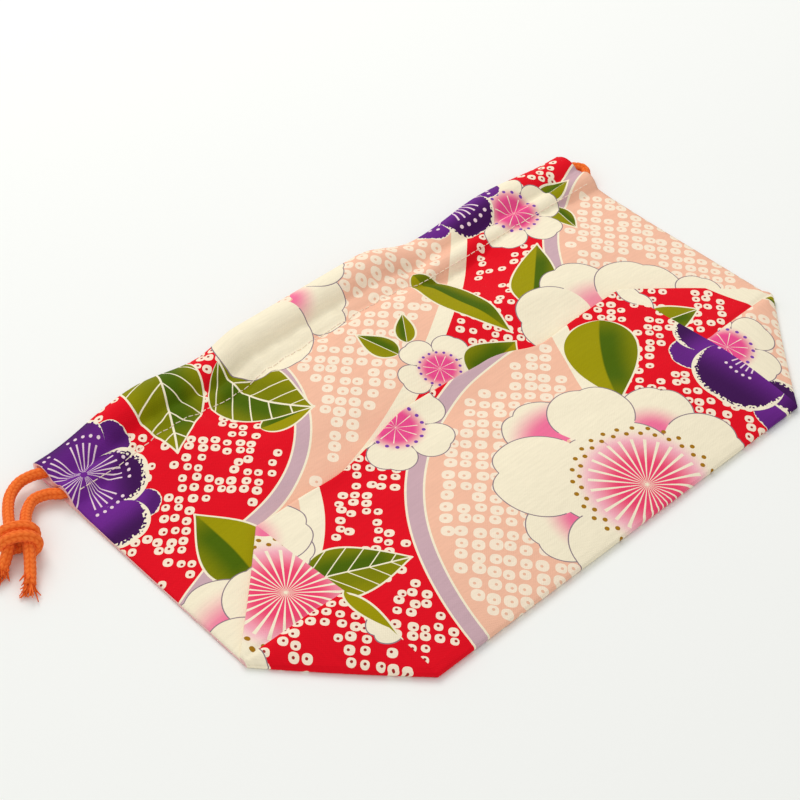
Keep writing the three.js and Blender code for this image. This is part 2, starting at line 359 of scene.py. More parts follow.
class ClothPath:
    """Rows of the cloth's section, each along all stations, with its place along the flat cloth."""

    def __init__(self, x):
        self.x = x
        self.kind, self.y, self.z, self.v, self.shift = [], [], [], [], []

    def add(self, kind, y, z, v, shift=0):
        """Adds rows, and returns the number of the last one."""
        for row in zip(*np.broadcast_arrays(y, z, v, shift, self.x)):
            self.kind.append(kind)
            for column, values in zip((self.y, self.z, self.v, self.shift), row):
                column.append(values)
        return len(self.kind) - 1


def cloth_path(x):
    """The cloth's section once round: front, turned-up bottom, back and then the inside."""
    path = ClothPath(x)
    edge, crease, low = flap_edge(x), crease_line(x), low_edge(x)
    flap, fold = flap_thickness(x), fold_thickness(x)
    casing_end = BACK_RUN_Y - BACK_ROUND - LEAST_GAP
    # Mouth edge of the front casing, then the front down to the crease under the flap
    top, under = front_outside(x, MOUTH_Y - MOUTH_ROUND), front_inside(x, MOUTH_Y - MOUTH_ROUND)
    half = (top - under) / 2
    y, z = turn(MOUTH_Y - MOUTH_ROUND, under + half, MOUTH_ROUND, half, EDGE_ROWS, -0.5, 0.5)
    path.add("front", y, z, spread(-HEM_ARC, MOUTH_ROUND, EDGE_ROWS))
    y = spread(MOUTH_Y - MOUTH_ROUND, casing_end, CASING_ROWS)[1:]
    path.front_casing = path.add("front", y, front_outside(x, y), MOUTH_Y - y)
    for start, end, count in ((casing_end, edge, FRONT_ROWS), (edge, crease + slit(x), HIDDEN_ROWS)):
        y = spread(start, end, count)[1:]
        path.add("front", y, front_outside(x, y), MOUTH_Y - y)
    # The fold back up under the flap, over its edge and down its outside
    in_crease = front_outside(x, crease) + slit(x) / 2
    path.add("under", crease[None], in_crease[None], MOUTH_Y - crease[None])
    y = spread(crease + slit(x), edge - flap / 2, HIDDEN_ROWS)[:-1]
    pulled = lean(x, edge) * (y - crease) / (edge - crease)
    path.add("under", y, front_outside(x, y) + slit(x), HEIGHT + FLAP_Y - 2 * edge + y, pulled)
    flap_bottom = front_outside(x, edge) + slit(x)
    y, z = turn(edge - flap / 2, flap_bottom + flap / 2, flap / 2, flap / 2, EDGE_ROWS, -0.5, 0.5)
    path.add("edge", y, z, HEIGHT + FLAP_Y - edge + spread(-flap / 2, flap / 2, EDGE_ROWS), lean(x, y))
    y = spread(edge - flap / 2, crease, FLAP_ROWS)[1:]
    path.add("upper", y, flap_outside(x, y), HEIGHT + FLAP_Y - y, lean(x, y))
    y = spread(crease, low + fold / 2, FLAP_ROWS)[1:-1]
    path.add("lower", y, flap_outside(x, y), HEIGHT + FLAP_Y - y, lean(x, y))
    # The lower fold and the back on the table, up to its mouth edge
    y, z = turn(low + fold / 2, fold / 2, -fold / 2, fold / 2, EDGE_ROWS, 0.5, -0.5)
    v = HEIGHT + GUSSET + (low - LOW_Y) + spread(-fold / 2, fold / 2, EDGE_ROWS)
    path.shown = path.add("low", y, z, v, lean(x, y))
    y = spread(low + fold / 2, casing_end, BACK_ROWS)[1:]
    path.back_casing = path.add("back", y, 0, HEIGHT + GUSSET + (y - LOW_Y))
    y = spread(casing_end, MOUTH_Y - CLOTH / 2, BACK_CASING_ROWS)[1:]
    path.add("back", y, 0, HEIGHT + GUSSET + (y - LOW_Y))
    y, z = turn(MOUTH_Y - CLOTH / 2, CLOTH / 2, CLOTH / 2, CLOTH / 2, BACK_EDGE_ROWS, -0.5, 0.5)
    path.add("back", y[1:], z[1:], 2 * HEIGHT + GUSSET)
    # The inside, from the back mouth edge round to the front
    in_low = np.minimum(low + mix(CLOTH, SEAM, beyond(x)), crease - CLOTH)
    in_fold = fold - 2 * CLOTH
    in_edge = edge - CLOTH
    y = spread(MOUTH_Y - CLOTH / 2, casing_end, IN_CASING_ROWS)[1:]
    path.back_inner = path.add("inside", y, back_inside(y), MOUTH_Y - y)
    y = spread(casing_end, in_low + in_fold / 2, IN_BACK_ROWS)[1:]
    path.add("inside", y, back_inside(y), MOUTH_Y - y)
    path.add("inside", in_low[None], (CLOTH + in_fold / 2)[None], (MOUTH_Y - in_low)[None])
    y = spread(in_low + in_fold / 2, in_edge - in_fold / 2, IN_FLAP_ROWS)
    path.add("inside", y, flap_outside(x, y) - CLOTH, HEIGHT + FLAP_Y - y, lean(x, y))
    slit_top = front_outside(x, in_edge) + slit(x) + CLOTH
    turned = (slit_top + flap_outside(x, in_edge) - CLOTH) / 2
    path.add("inside", in_edge[None], turned[None], HEIGHT, lean(x, in_edge))
    y = spread(in_edge - in_fold / 2, crease, IN_SLIT_ROWS)
    pulled = lean(x, edge) * (y - crease) / (edge - crease)
    path.add("inside", y, front_outside(x, y) + slit(x) + CLOTH, HEIGHT - (FLAP_Y - y), pulled)
    nose = (front_inside(x, crease) + front_outside(x, crease) + slit(x) + CLOTH) / 2
    path.add("inside", (crease - CLOTH)[None], nose[None], MOUTH_Y - CREASE_Y)
    y = spread(crease, casing_end, IN_FRONT_ROWS)
    path.front_inner = path.add("inside", y, front_inside(x, y), MOUTH_Y - y)
    y = spread(casing_end, MOUTH_Y - MOUTH_ROUND, CASING_ROWS)[1:-1]
    path.add("inside", y, front_inside(x, y), MOUTH_Y - y)
    return path


def corner_place(kind, x, y):
    """Place on the flat cloth of a folded side corner: the front's above its seam, the back's below."""
    out = np.abs(x) - CORNER_X
    crease, edge, low = crease_line(x), flap_edge(x), low_edge(x)
    if kind == "lower":
        down = mix(out, GUSSET / 2, (y - low) / (crease - low))
        return np.sign(x) * (CORNER_X + down), HEIGHT + GUSSET + out
    down = mix(out, GUSSET / 2, (edge - y) / (edge - crease))
    return np.sign(x) * (CORNER_X + down), HEIGHT - out


def casing_mouth(section, rows, middle, half_sizes):
    """Faces of a casing's cut end: rows by number, and the points of its open mouth from -1 down."""
    angle = 2 * np.pi * np.arange(CASING_MOUTH_SIDES) / CASING_MOUTH_SIDES
    hole = np.array(middle) + np.stack([np.cos(angle), np.sin(angle)], axis=1) * half_sizes
    # Bent too little to see, because the tessellation drops points that lie on one straight line
    outline = section[rows] - np.stack([np.zeros(len(rows)), END_BEND * section[rows][:, 0] ** 2], axis=1)
    names = [*rows, *(-1 - np.arange(len(hole)))]
    flat = np.concatenate([outline, hole])
    after = np.roll(outline, -1, axis=0)
    ahead = np.sign(np.sum(outline[:, 0] * after[:, 1] - outline[:, 1] * after[:, 0]))
    loops = [[Vector((*point, 0)) for point in loop] for loop in (outline, hole)]
    faces = []
    for face in geometry.tessellate_polygon(loops):
        a, b, c = flat[list(face)]
        facing = np.sign((b[0] - a[0]) * (c[1] - a[1]) - (b[1] - a[1]) * (c[0] - a[0]))
        faces.append([names[corner] for corner in (face if facing == ahead else face[::-1])])
    # Order of the mouth's points as the cut end runs round it
    order = list(range(len(hole)))[::1 if ahead < 0 else -1]
    return hole, faces, order


def ribbon_end(section, outer, inner):
    """Triangles that close the cut end of the cloth between an outer and an inner run of rows."""
    faces = []
    i = j = 0
    while i < len(outer) - 1 or j < len(inner) - 1:
        ahead = [
            math.dist(section[outer[i + 1]], section[inner[j]]) if i < len(outer) - 1 else math.inf,
            math.dist(section[outer[i]], section[inner[j + 1]]) if j < len(inner) - 1 else math.inf,
        ]
        if ahead[0] <= ahead[1]:
            faces.append([outer[i], outer[i + 1], inner[j]])
            i += 1
        else:
            faces.append([inner[j + 1], inner[j], outer[i]])
            j += 1
    return faces


def cut_ends(path, grid):
    """Faces of both ends of the cloth with the open mouths of its casings, and the mouths' points."""
    rows, columns = grid.shape[:2]
    added, faces = [], []
    front_loop = [*range(path.front_casing + 1), *range(path.front_inner, rows)]
    back_loop = list(range(path.back_casing, path.back_inner + 1))
    outer = list(range(path.front_casing, path.back_casing + 1))
    inner = list(range(path.front_inner, path.back_inner - 1, -1))
    for end in (0, columns - 1):
        x = grid[0, end, 0]
        inward = CASING_MOUTH_DEPTH if x < 0 else -CASING_MOUTH_DEPTH
        section = grid[:, end, 1:]
        run_height = front_inside(x, FRONT_RUN_Y) + CLOTH + CHANNEL / 2
        made = [[row * columns + end for row in face] for face in ribbon_end(section, outer, inner)]
        for loop, middle, half_sizes in (
            (front_loop, (FRONT_RUN_Y, run_height), FRONT_MOUTH),
            (back_loop, (BACK_RUN_Y, CLOTH + CHANNEL / 2), BACK_MOUTH),
        ):
            hole, cut, order = casing_mouth(section, loop, middle, half_sizes)
            first = rows * columns + len(added)
            count = len(hole)
            added += [(x, *point) for point in hole]
            added += [(x + inward, *point) for point in hole]
            added.append((x + inward, *middle))
            for face in cut:
                made.append([row * columns + end if row >= 0 else first - 1 - row for row in face])
            for one, other in zip(order, order[1:] + order[:1]):
                made.append([first + other, first + one, first + count + one, first + count + other])
                made.append([first + 2 * count, first + count + other, first + count + one])
        faces += made if end else [face[::-1] for face in made]
    return np.array(added), faces


def bake_places(path, grid, corner_row, corner_column):
    """Places of the cloth's faces on one flat map: what shows on the left, the rest on the right."""
    rows = len(grid)
    steps = np.linalg.norm(np.roll(grid, -1, axis=0) - grid, axis=-1).mean(axis=1)
    along = (grid[0, :, 0] + HALF) / (2 * HALF)
    ends = np.zeros(rows + 1)
    ends[1:] = np.cumsum(steps)
    split = ends[path.shown]
    first_row = corner_row[:, :1]
    row = np.where((corner_row == 0) & (first_row == rows - 1), rows, corner_row)
    shown = first_row < path.shown
    down = np.where(shown, ends[row] / split, (ends[row] - split) / (ends[rows] - split))
    at = along[corner_column]
    across = np.where(shown, SHOWN_LEFT + SHOWN_WIDE * at, REST_LEFT + REST_WIDE * at)
    return np.stack([across, MAP_MARGIN + MAP_TALL * down], axis=-1)


def print_places(path, face_kind, corner_row, corner_column):
    """Places of the cloth's faces on the flat cloth, where the folded side corners have their own."""
    x, kind, y, v = path.x, *map(np.array, (path.kind, path.y, path.v))
    x_rows = np.broadcast_to(x, y.shape)
    turned = PRINT_TURN - np.abs(PRINT_TURN - v)
    place = np.stack([x_rows[corner_row, corner_column], turned[corner_row, corner_column]], axis=-1)
    side = np.abs(x[corner_column].mean(axis=1)) > CORNER_X
    round_edge = {
        "edge": v - (HEIGHT + FLAP_Y - flap_edge(x)),
        "low": HEIGHT + GUSSET + (low_edge(x) - LOW_Y) - v,
    }
    for name, half in (("upper", "upper"), ("edge", "upper"), ("lower", "lower"), ("low", "lower")):
        cut = side & (face_kind == name)
        at = (corner_row[cut], corner_column[cut])
        u, along = corner_place(half, x_rows[at], y[at])
        if name in round_edge:
            out = np.sign(x_rows[at]) * (np.abs(x_rows[at]) + round_edge[name][at])
            u = np.where(kind[corner_row[cut]] == name, out, u)
        place[cut] = np.stack([u, along], axis=-1)
    return place


def end_cells(faces):
    """Places of the cut ends' faces on the flat map, a small cell for each."""
    cell = np.concatenate([[number] * len(face) for number, face in enumerate(faces)])
    corner = np.concatenate([np.arange(len(face)) for face in faces])
    cell_at = np.stack([cell % CELLS_ACROSS, cell // CELLS_ACROSS], axis=1) * CELL
    return CELLS_AT + cell_at + np.array(CELL_CORNERS)[corner] * CELL


def bag():
    """The folded bag, with its places on the flat cloth and on a map for the bake."""
    path = cloth_path(stations())
    y, z, shift = map(np.array, (path.y, path.z, path.shift))
    rows, columns = y.shape
    grid = np.stack([path.x + shift, y, z], axis=-1)
    # Quads between neighbouring rows and stations, then the cut ends
    row, column = (numbers.ravel() for numbers in np.mgrid[0:rows, 0:columns - 1])
    corner_row = np.stack([row, row + 1, row + 1, row], axis=1) % rows
    corner_column = np.stack([column, column, column + 1, column + 1], axis=1)
    faces = (corner_row * columns + corner_column).tolist()
    end_points, end_faces = cut_ends(path, grid)
    points = np.concatenate([grid.reshape(-1, 3), end_points])
    piece = mesh_piece("printed_bag", points, faces + end_faces)
    face_kind = np.array(path.kind)[(row + 1) % rows]
    place = print_places(path, face_kind, corner_row, corner_column)
    bake = bake_places(path, grid, corner_row, corner_column)
    end_bake = end_cells(end_faces)
    end_place = np.repeat([[path.x[0], PRINT_TURN]], len(end_bake), axis=0)
    for name, places in (
        ("cloth", (place.reshape(-1, 2) * MM, end_place * MM)),
        ("OFBake", (bake.reshape(-1, 2), end_bake)),
    ):
        layer = piece.data.uv_layers.new(name=name)
        layer.data.foreach_set("uv", np.concatenate(places).astype(np.float32).ravel())
    # Materials: the front's print, the bottom's and back's, the reverse
    front, low, reverse = range(3)
    printed = np.where(place[..., 1].mean(axis=1) > FOLD_IN, low, front)
    finish = np.full(len(faces) + len(end_faces), reverse, np.int32)
    finish[:len(faces)] = np.where(face_kind == "inside", reverse, printed)
    piece.data.polygons.foreach_set("material_index", finish)
    return piece


def smooth_route(points, count):
    """A smooth line through the points, with that many steps from each to the next."""
    points = np.array(points, float)
    padded = np.concatenate([[2 * points[0] - points[1]], points, [2 * points[-1] - points[-2]]])
    gaps = np.sqrt(np.linalg.norm(np.diff(padded, axis=0), axis=1))[:, None]
    before, after = gaps[:-1], gaps[1:]
    steps = np.diff(padded, axis=0)
    slopes = steps[:-1] / before - (steps[:-1] + steps[1:]) / (before + after) + steps[1:] / after
    share = np.linspace(0, 1, count, endpoint=False)[None, :, None]
    start, end = points[:-1, None], points[1:, None]
    leave, arrive = (slopes[:-1] * gaps[1:-1])[:, None], (slopes[1:] * gaps[1:-1])[:, None]
    line = (
        start
        + leave * share
        + (3 * (end - start) - 2 * leave - arrive) * share**2
        + (2 * (start - end) + leave + arrive) * share**3
    )
    return np.concatenate([line.reshape(-1, 3), points[-1:]])


def lengths_along(line):
    """How far along a line each of its points lies."""
    return np.concatenate([[0], np.cumsum(np.linalg.norm(np.diff(line, axis=0), axis=1))])


def at_lengths(line, places):
    """Points of a line at lengths along it."""
    lengths = lengths_along(line)
    return np.stack([np.interp(places, lengths, line[:, axis]) for axis in range(3)], axis=1)


def side_directions(line):
    """Two directions across a line at each of its points, carried along it without twist."""
    ahead = np.gradient(line, axis=0)
    ahead /= np.linalg.norm(ahead, axis=1)[:, None]
    across = np.cross(ahead[0], (0, 0, 1))
    sides = []
    for direction in ahead:
        across = across - direction * np.dot(across, direction)
        across /= np.linalg.norm(across)
        sides.append(across)
    sides = np.array(sides)
    return sides, np.cross(ahead, sides)


def tube(line, radii, sides):
    """A closed tube along a line: points, and faces by number. Radii are for each point and side."""
    across, over = side_directions(line)
    angle = 2 * np.pi * np.arange(sides) / sides
    out = across[:, None] * np.cos(angle)[None, :, None] + over[:, None] * np.sin(angle)[None, :, None]
    points = (line[:, None] + out * np.broadcast_to(radii, (len(line), sides))[..., None]).reshape(-1, 3)
    ring, side = (numbers.ravel() for numbers in np.mgrid[0:len(line) - 1, 0:sides])
    after = (side + 1) % sides
    here, ahead = ring * sides, (ring + 1) * sides
    faces = np.stack([here + side, here + after, ahead + after, ahead + side], axis=1).tolist()
    last = (len(line) - 1) * sides
    first_end, last_end = len(points), len(points) + 1
    for one in range(sides):
        other = (one + 1) % sides
        faces.append([first_end, other, one])
        faces.append([last_end, last + one, last + other])
    return np.concatenate([points, line[:1], line[-1:]]), faces


def braid_relief(places):
    """Height of the braid at lengths along it, for each side: 0 in its grooves, 1 on its strands."""
    side = np.arange(BRAID_SIDES) / BRAID_SIDES * BRAID_COLUMNS
    column = np.abs(side % 1 - 0.5) * 2
    chevron = np.abs(np.cos(np.pi * (places[:, None] / BRAID_PITCH + BRAID_SLANT * column[None])))
    return np.sqrt(chevron) * (1 - BRAID_GROOVE * column[None] ** 4)


def cord_piece(name, points, faces, relief):
    """A piece of cord, with the height of its strands as an attribute."""
    piece = mesh_piece(name, points, faces)
    attribute = piece.data.attributes.new("relief", "FLOAT", "POINT")
    attribute.data.foreach_set("value", np.asarray(relief, np.float32))
    return piece


def braided(name, line, places):
    """A piece of braided cord along a line, with rings at these lengths."""
    relief = braid_relief(places)
    radii = CORD / 2 - BRAID_RELIEF * (1 - relief)
    points, faces = tube(at_lengths(line, places), radii, BRAID_SIDES)
    # The same height, as an attribute, also sets the painted shade in the grooves
    return cord_piece(name, points, faces, [*relief.ravel(), BRAID_END_RELIEF, BRAID_END_RELIEF])


def cord_route():
    """The drawcord's route, as in its solid."""
    left, right, mouth = -HALF, HALF, MOUTH_Y
    back_height = CLOTH + CHANNEL / 2
    gathered = [
        -0.985, -0.9, -0.82, -0.74, -0.66, -0.555, -0.45, -0.38, -0.31, -0.16, 0,
        0.14, 0.2, 0.265, 0.33, 0.39, 0.46, 0.55, 0.65, 0.75, 0.85, 0.94,
    ]
    front_run = [
        (share * HALF, FRONT_RUN_Y, front_inside(share * HALF, FRONT_RUN_Y) + CLOTH + CHANNEL / 2)
        for share in gathered
    ]
    return [
        (left - 40, mouth - 36.5, 2.6), (left - 35.5, mouth - 33.5, 4.6),
        (left - 30.6, mouth - 29.5, 6.8), (left - 26.4, mouth - 22.8, 6.8),
        (left - 21.6, mouth - 14.6, 6), (left - 16.4, mouth - 8.4, 5.6),
        (left - 10, mouth - 5, 5.5), (left - 4.5, mouth - 5.2, 5.6),
        *front_run,
        (right - 0.5, FRONT_RUN_Y - 1.4, back_height + 1.5),
        (right + 4.6, (FRONT_RUN_Y + BACK_RUN_Y) / 2, back_height + 0.8),
        (right - 0.5, BACK_RUN_Y + 1.4, back_height),
        (right - 10, BACK_RUN_Y, back_height),
        *((share * HALF, BACK_RUN_Y, back_height) for share in (0.7, 0.35, 0, -0.35, -0.7)),
        (left + 8, BACK_RUN_Y, back_height), (left + 0.5, BACK_RUN_Y + 1.5, back_height),
        (left - 4.6, BACK_RUN_Y + 5, 3.6), (left - 10.2, mouth - 14.8, 3.6),
        (left - 15.4, mouth - 18.2, 4.2), (left - 20, mouth - 24, 5.6),
        (left - 24.4, mouth - 32, 6.8), (left - 28.4, mouth - 39, 6.2),
        (left - 32.2, mouth - 44.5, 4.2), (left - 36, mouth - 49.5, 2.6),
    ]


def ring_places(line):
    """Lengths along the cord of its rings: close where it shows, far apart in the casings."""
    lengths = lengths_along(line)
    places = [0.0]
    while places[-1] < lengths[-1] - BRAID_STEP:
        x = np.interp(places[-1], lengths, line[:, 0])
        places.append(places[-1] + (BRAID_STEP if abs(x) > HALF - CASING_MOUTH_DEPTH else HIDDEN_STEP))
    return np.minimum(np.array(places), lengths[-1])


def knot_route():
    """The knot's wraps round both strands, as in its solid."""
    share = np.linspace(0, 1, KNOT_STEPS)
    angle = 2 * np.pi * KNOT_WRAPS * share
    across = -(KNOT_ACROSS - CORD) / 2 * np.sin(angle)
    along = (KNOT_ALONG - CORD) * (0.5 - share)
    up = KNOT_TALL / 2 - (KNOT_TALL - CORD) / 2 * np.cos(angle)
    cos, sin = math.cos(KNOT_TURN), math.sin(KNOT_TURN)
    x = KNOT_CENTRE[0] - HALF + across * cos + along * sin
    y = KNOT_CENTRE[1] + MOUTH_Y - across * sin + along * cos
    return np.stack([x, y, up], axis=1)


def frayed_ends(line):
    """Loose threads at both cut ends of the cord."""
    random = np.random.default_rng(FRAY_SEED)
    points, faces, relief = [], [], []
    for way in (line, line[::-1]):
        end = way[0]
        ahead = (end - way[FRAY_LEAD]) / np.linalg.norm(end - way[FRAY_LEAD])
        for _ in range(FRAY_THREADS):
            start = end + random.normal(0, FRAY_WIDE, 3) - ahead * FRAY_ROOT
            lead = ahead + random.normal(0, FRAY_SPREAD, 3)
            curl = random.normal(0, FRAY_CURL, 3)
            share = np.linspace(0, 1, FRAY_STEPS)[:, None]
            thread = start + (lead * share + curl * share**2) * random.uniform(*FRAY_LENGTH)
            thread[:, 2] = np.maximum(thread[:, 2], FRAY_THICK)
            made, joined = tube(thread, FRAY_THICK / 2 * (1 - FRAY_TAPER * share), FRAY_SIDES)
            first = sum(map(len, points))
            faces += [[first + corner for corner in face] for face in joined]
            points.append(made)
            relief += [random.uniform(*FRAY_RELIEF)] * len(made)
    return cord_piece("frayed_ends", np.concatenate(points), faces, relief)


def casing_stitches():
    """The line of thread that closes the casing, one stitch copied along the cloth."""
    bpy.ops.object.select_all(action="DESELECT")
    bpy.ops.mesh.primitive_cylinder_add(
        vertices=THREAD_SIDES, radius=THREAD / 2 * MM, depth=STITCH * MM, rotation=(0, math.pi / 2, 0),
    )
    stitch = bpy.context.object
    bpy.ops.object.transform_apply(location=False, rotation=True, scale=False)
    bpy.ops.object.mode_set(mode="EDIT")
    bpy.ops.mesh.select_all(action="SELECT")
    bpy.ops.mesh.bevel(offset=THREAD_ROUND * MM, segments=1, affect="EDGES")
    bpy.ops.object.mode_set(mode="OBJECT")
    copies = []
    for x in np.arange(-HALF + STITCH_MARGIN, HALF - STITCH_MARGIN, STITCH_PITCH):
        heights = front_outside(x + np.array([-STITCH, STITCH]) / 2, CASING_Y)
        copy = bpy.data.objects.new("stitch", stitch.data.copy())
        bpy.context.scene.collection.objects.link(copy)
        copy.location = Vector((x, CASING_Y, heights.mean() + THREAD_PROUD)) * MM
        copy.rotation_euler = (0, -math.atan2(heights[1] - heights[0], STITCH), 0)
        copies.append(copy)
    bpy.data.objects.remove(stitch)
    bpy.ops.object.select_all(action="DESELECT")
    for copy in copies:
        copy.select_set(True)
    bpy.context.view_layer.objects.active = copies[0]
    bpy.ops.object.join()
    line = bpy.context.object
    line.name = line.data.name = "casing_stitches"
    bpy.ops.object.transform_apply()
    bpy.ops.object.shade_smooth()
    return line


cloth = bag()
route = smooth_route(cord_route(), ROUTE_STEPS)
drawcord = braided("braided_drawcord", route, ring_places(route))
knot_line = knot_route()
knot = braided("wrapped_knot", knot_line, np.arange(0, lengths_along(knot_line)[-1], BRAID_STEP))
fray = frayed_ends(route)
stitches = casing_stitches()

for piece, slot in (
    (cloth, "printed_cotton"), (stitches, "printed_cotton"),
    (drawcord, "orange_cord"), (knot, "orange_cord"), (fray, "orange_cord"),
):
    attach(piece, "root")
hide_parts("bag_body")
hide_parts("drawcord")
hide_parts("drawcord_knot")

# Colours of the print and the thread
RED = "#E50C20"
SALMON = "#F6BFA2"
CREAM = "#F8EDD0"
LILAC = "#CDABB2"
HOT_PINK = "#F0446E"
SMALL_HEART = "#EC4F8E"
VIOLET = "#7E44A8"
PALE_PINK = "#F9BCC8"
BLUSH = "#F3739B"
PURPLE = "#70288E"
DARK_PURPLE = "#3C124C"
OLIVE = "#9D9400"
DARK_GREEN = "#4A6400"
GOLD = "#A87616"
OUTLINE = "#8E7C84"
STAMEN = "#F0D6DE"
DOT_PALE = "#FBE9D0"
DARK_HOLE = "#A42A26"
PALE_HOLE = "#EFBC9F"
CORD_ORANGE = "#FB7C34"
# Painted shade in the grooves of the braid, which the loose threads also take a share of
CORD_PAINTED_SHADE = "#DE5310"
REVERSE = "#EFC9BC"
THREAD_COLOUR = "#F0D3C6"
FLOOR_COLOUR = "#F6F7F3"

# The print, in millimetres on the flat cloth: across from its middle, and down from the front mouth edge
RESIST_LINE = 0.45
PEN_LINE = 0.22
PETAL_WIDER = 1.08
PETAL_BASE = 0.45
NOTCH_WIDE = 0.55
DARK_NOTCH = 0.05
BLUSH_REACH = 0.9
TOOTH = 1 / 0.9
LEAF_STALK, LEAF_TIP, LEAF_FULLEST = 0.62, 1.15, 0.3178
LEAF_MIDDLE = 0.45
RIB_EDGE = (-0.03, 0.02)
OTHER_HALF = 0.5
VEINED, RIBBED = 0.75, 0.25
VEINS = 5
VEIN_SLANT = 0.3
VEIN_SHARE = 0.036
RIB_SHARE = 0.026
RAY_TAPER = 0.06
BLOSSOM_PETALS = 5
SMALL_LOBE_AT, SMALL_LOBE, SMALL_MIDDLE = (0.1, 0.665), 0.315, 0.5
BUNDLE_SHARE = 0.36
# Rays: how many, thickness, start and end. Rings of dots: how many, radius and size of a dot
HEART_RAYS = (27, 0.03, 0, 0.88)
HEART_DOTS = [(29, 1, 0.038), (29, 1.11, 0.038)]
SMALL_RAYS = (10, 0.024, 0, 0.37)
SMALL_DOTS = (17, 0.46, 0.034)
STAMEN_RAYS = (35, 0.024, 0.08, 0.78)
STAMEN_DOTS = (35, 0.93, 0.038)
# Fades: from where to where, and what they go from and to there
LEAF_SIDE_FADE = (0.25, 1, 1, 0.45)
LEAF_END_FADE = (0.2, 0.6, 1, 0.4)
RIM_TEETH = (0.35, 0.65, 0.5, 1.2)
RIM_FADE = (-0.5, 0.3)
DARK_FADE = (-0.7, 0.5)
HEART_FADE = (0.4, 1)
HEART_EDGE = (0.8, 1.12, 1, 0)
SMALL_HEART_FADE = (0.28, 0.58)
# Fields: middle, radius, width of the ring, colour, colour of the ring
SALMON_DISC = (-135, -189, 287, 6.4, SALMON, CREAM)
RED_DISC = (-111, 20.4, 61.6, 6.4, RED, LILAC)
SIDE_DISC = (185, 130, 117, 6.8, SALMON, LILAC)
FLAP_DISC = (34, 294, 112, 7, SALMON, LILAC)
CORNER_DISC = (160, 325, 62, 4, SALMON, LILAC)
LEFT_DISC = (-150, 140, 82, 8, SALMON, CREAM)
TIP_DISC = (110, 58, 90.5, 10.4, SALMON, CREAM)
# Straight edges of fields: how far they slope across for each step down, and where they start
FIELD_SLOPE = 0.3
STRIP_SLOPE, STRIP_START = 0.52, 154.7
RED_SLOPE, RED_START = 0.586, 176.5
# Tied-dye dots; pairs are for red, then for salmon
DOT_TURN = math.radians(42)
DOT_DENSITY = (1 / 4.9, 1 / 6)
DOT_STRAY = (0.36, 0.22)
DOT_MARGIN = (3, 5)
DOT_PATCHES = (0.45, 0.31)
DOT_SIZE = (0.37, 0.4)
DOT_HOLE = (0.56, 0.6)
DOT_VARIES = 0.08
DOT_SQUARENESS = 2.4
DOT_HOLE_ASIDE = 0.9
DOT_PATCH = 13
# Leaves: stalk, tip, width (below 0 where the other half is dark), veins (0.5 for the rib alone), bow.
# Petals: middle of the blossom, of the petal, size, and then for a cream one its notch, its blush and how
# far up that comes, for a purple one its rim and shade. Hearts, stamens and small blossoms: middle, edge
FRONT_MOTIFS = [
    ("leaf", (-83, -14), (-107, 39), 34, 1, 0.5),
    ("leaf", (-73.5, 50), (-50.5, 56.5), 12, 0, 0),
    ("leaf", (-63, 10), (-51, 57), -34.6, 1, 1.28),
    ("petal", (-22, 3), (-11, 13), 13, 0.2, 1, 0.1),
    ("petal", (-30, -14), (-41, 12), 20, 0.1, 0, 0),
    ("petal", (-10, -14), (3, -2), 11.5, 0.1, 0, 0),
    ("dark petal", (-140, 22), (-122, 15), 7.3, 0.5, 0.6),
    ("dark petal", (-140, 30), (-130, 47.5), 6.3, 0.5, 0.6),
    ("dark petal", (-155, 26), (-142, 26), 14.5, 0, 0),
    ("dark petal", (-142, 30), (-142, 4.5), 19, 1.7, 0.9),
    ("dark petal", (-142, 22), (-129.8, 29.3), 12.8, 2.6, 0.95),
    ("dark petal", (-141.5, 22), (-142.5, 48), 11, 2.4, 0.95),
    ("stamens", (-140, 21), (-140, 40)),
    ("leaf", (-5, 57), (-10, 36), -12, 0.5, 0),
    ("leaf", (3, 54), (14, 39), 9, 0.5, 0),
    ("small blossom", (3.5, 73.5), (0.5, 54.8)),
    ("leaf", (38, 20), (42, 78), 20, 0, 0),
    ("leaf", (59, 73), (95, 41), -21, 0, 0),
    ("leaf", (119, 20), (141, 17), 11, 0.5, 0),
    ("leaf", (122, 25), (118, 44), 11, 0.5, 0),
    ("small blossom", (102.5, 19), (108, 42)),
    ("dark petal", (84, -14), (67, 2), 8.5, 0.6, 0.2),
    ("dark petal", (84, -14), (101, -1), 9, 0.6, 0.2),
    ("dark petal", (84, -14), (84, 7), 12, 1.2, 0.9),
    ("stamens", (84, -8), (84, 14)),
    ("leaf", (12, 86), (40, 82), 24, 0, 0),
    ("petal", (84, 96), (84.5, 75), 15.5, 0.12, 0.8, 0.25),
    ("petal", (84, 96), (63, 84), 18, 0.12, 0, 0),
    ("petal", (92, 103), (107, 92), 18.5, 0.12, 0, 0),
    ("petal", (112, 118), (127, 109), 9.5, 0.1, 0, 0),
    ("leaf", (-122.5, 106), (-120.5, 66), 28, 0, -0.4),
    ("petal", (-137, 168), (-146, 112), 19, 0.1, 1, 0.75),
    ("petal", (-137, 168), (-126, 114), 14.5, 0.1, 0, 0),
    ("petal", (-137, 168), (-150, 127.5), 15.5, 0.1, 0, 0),
]
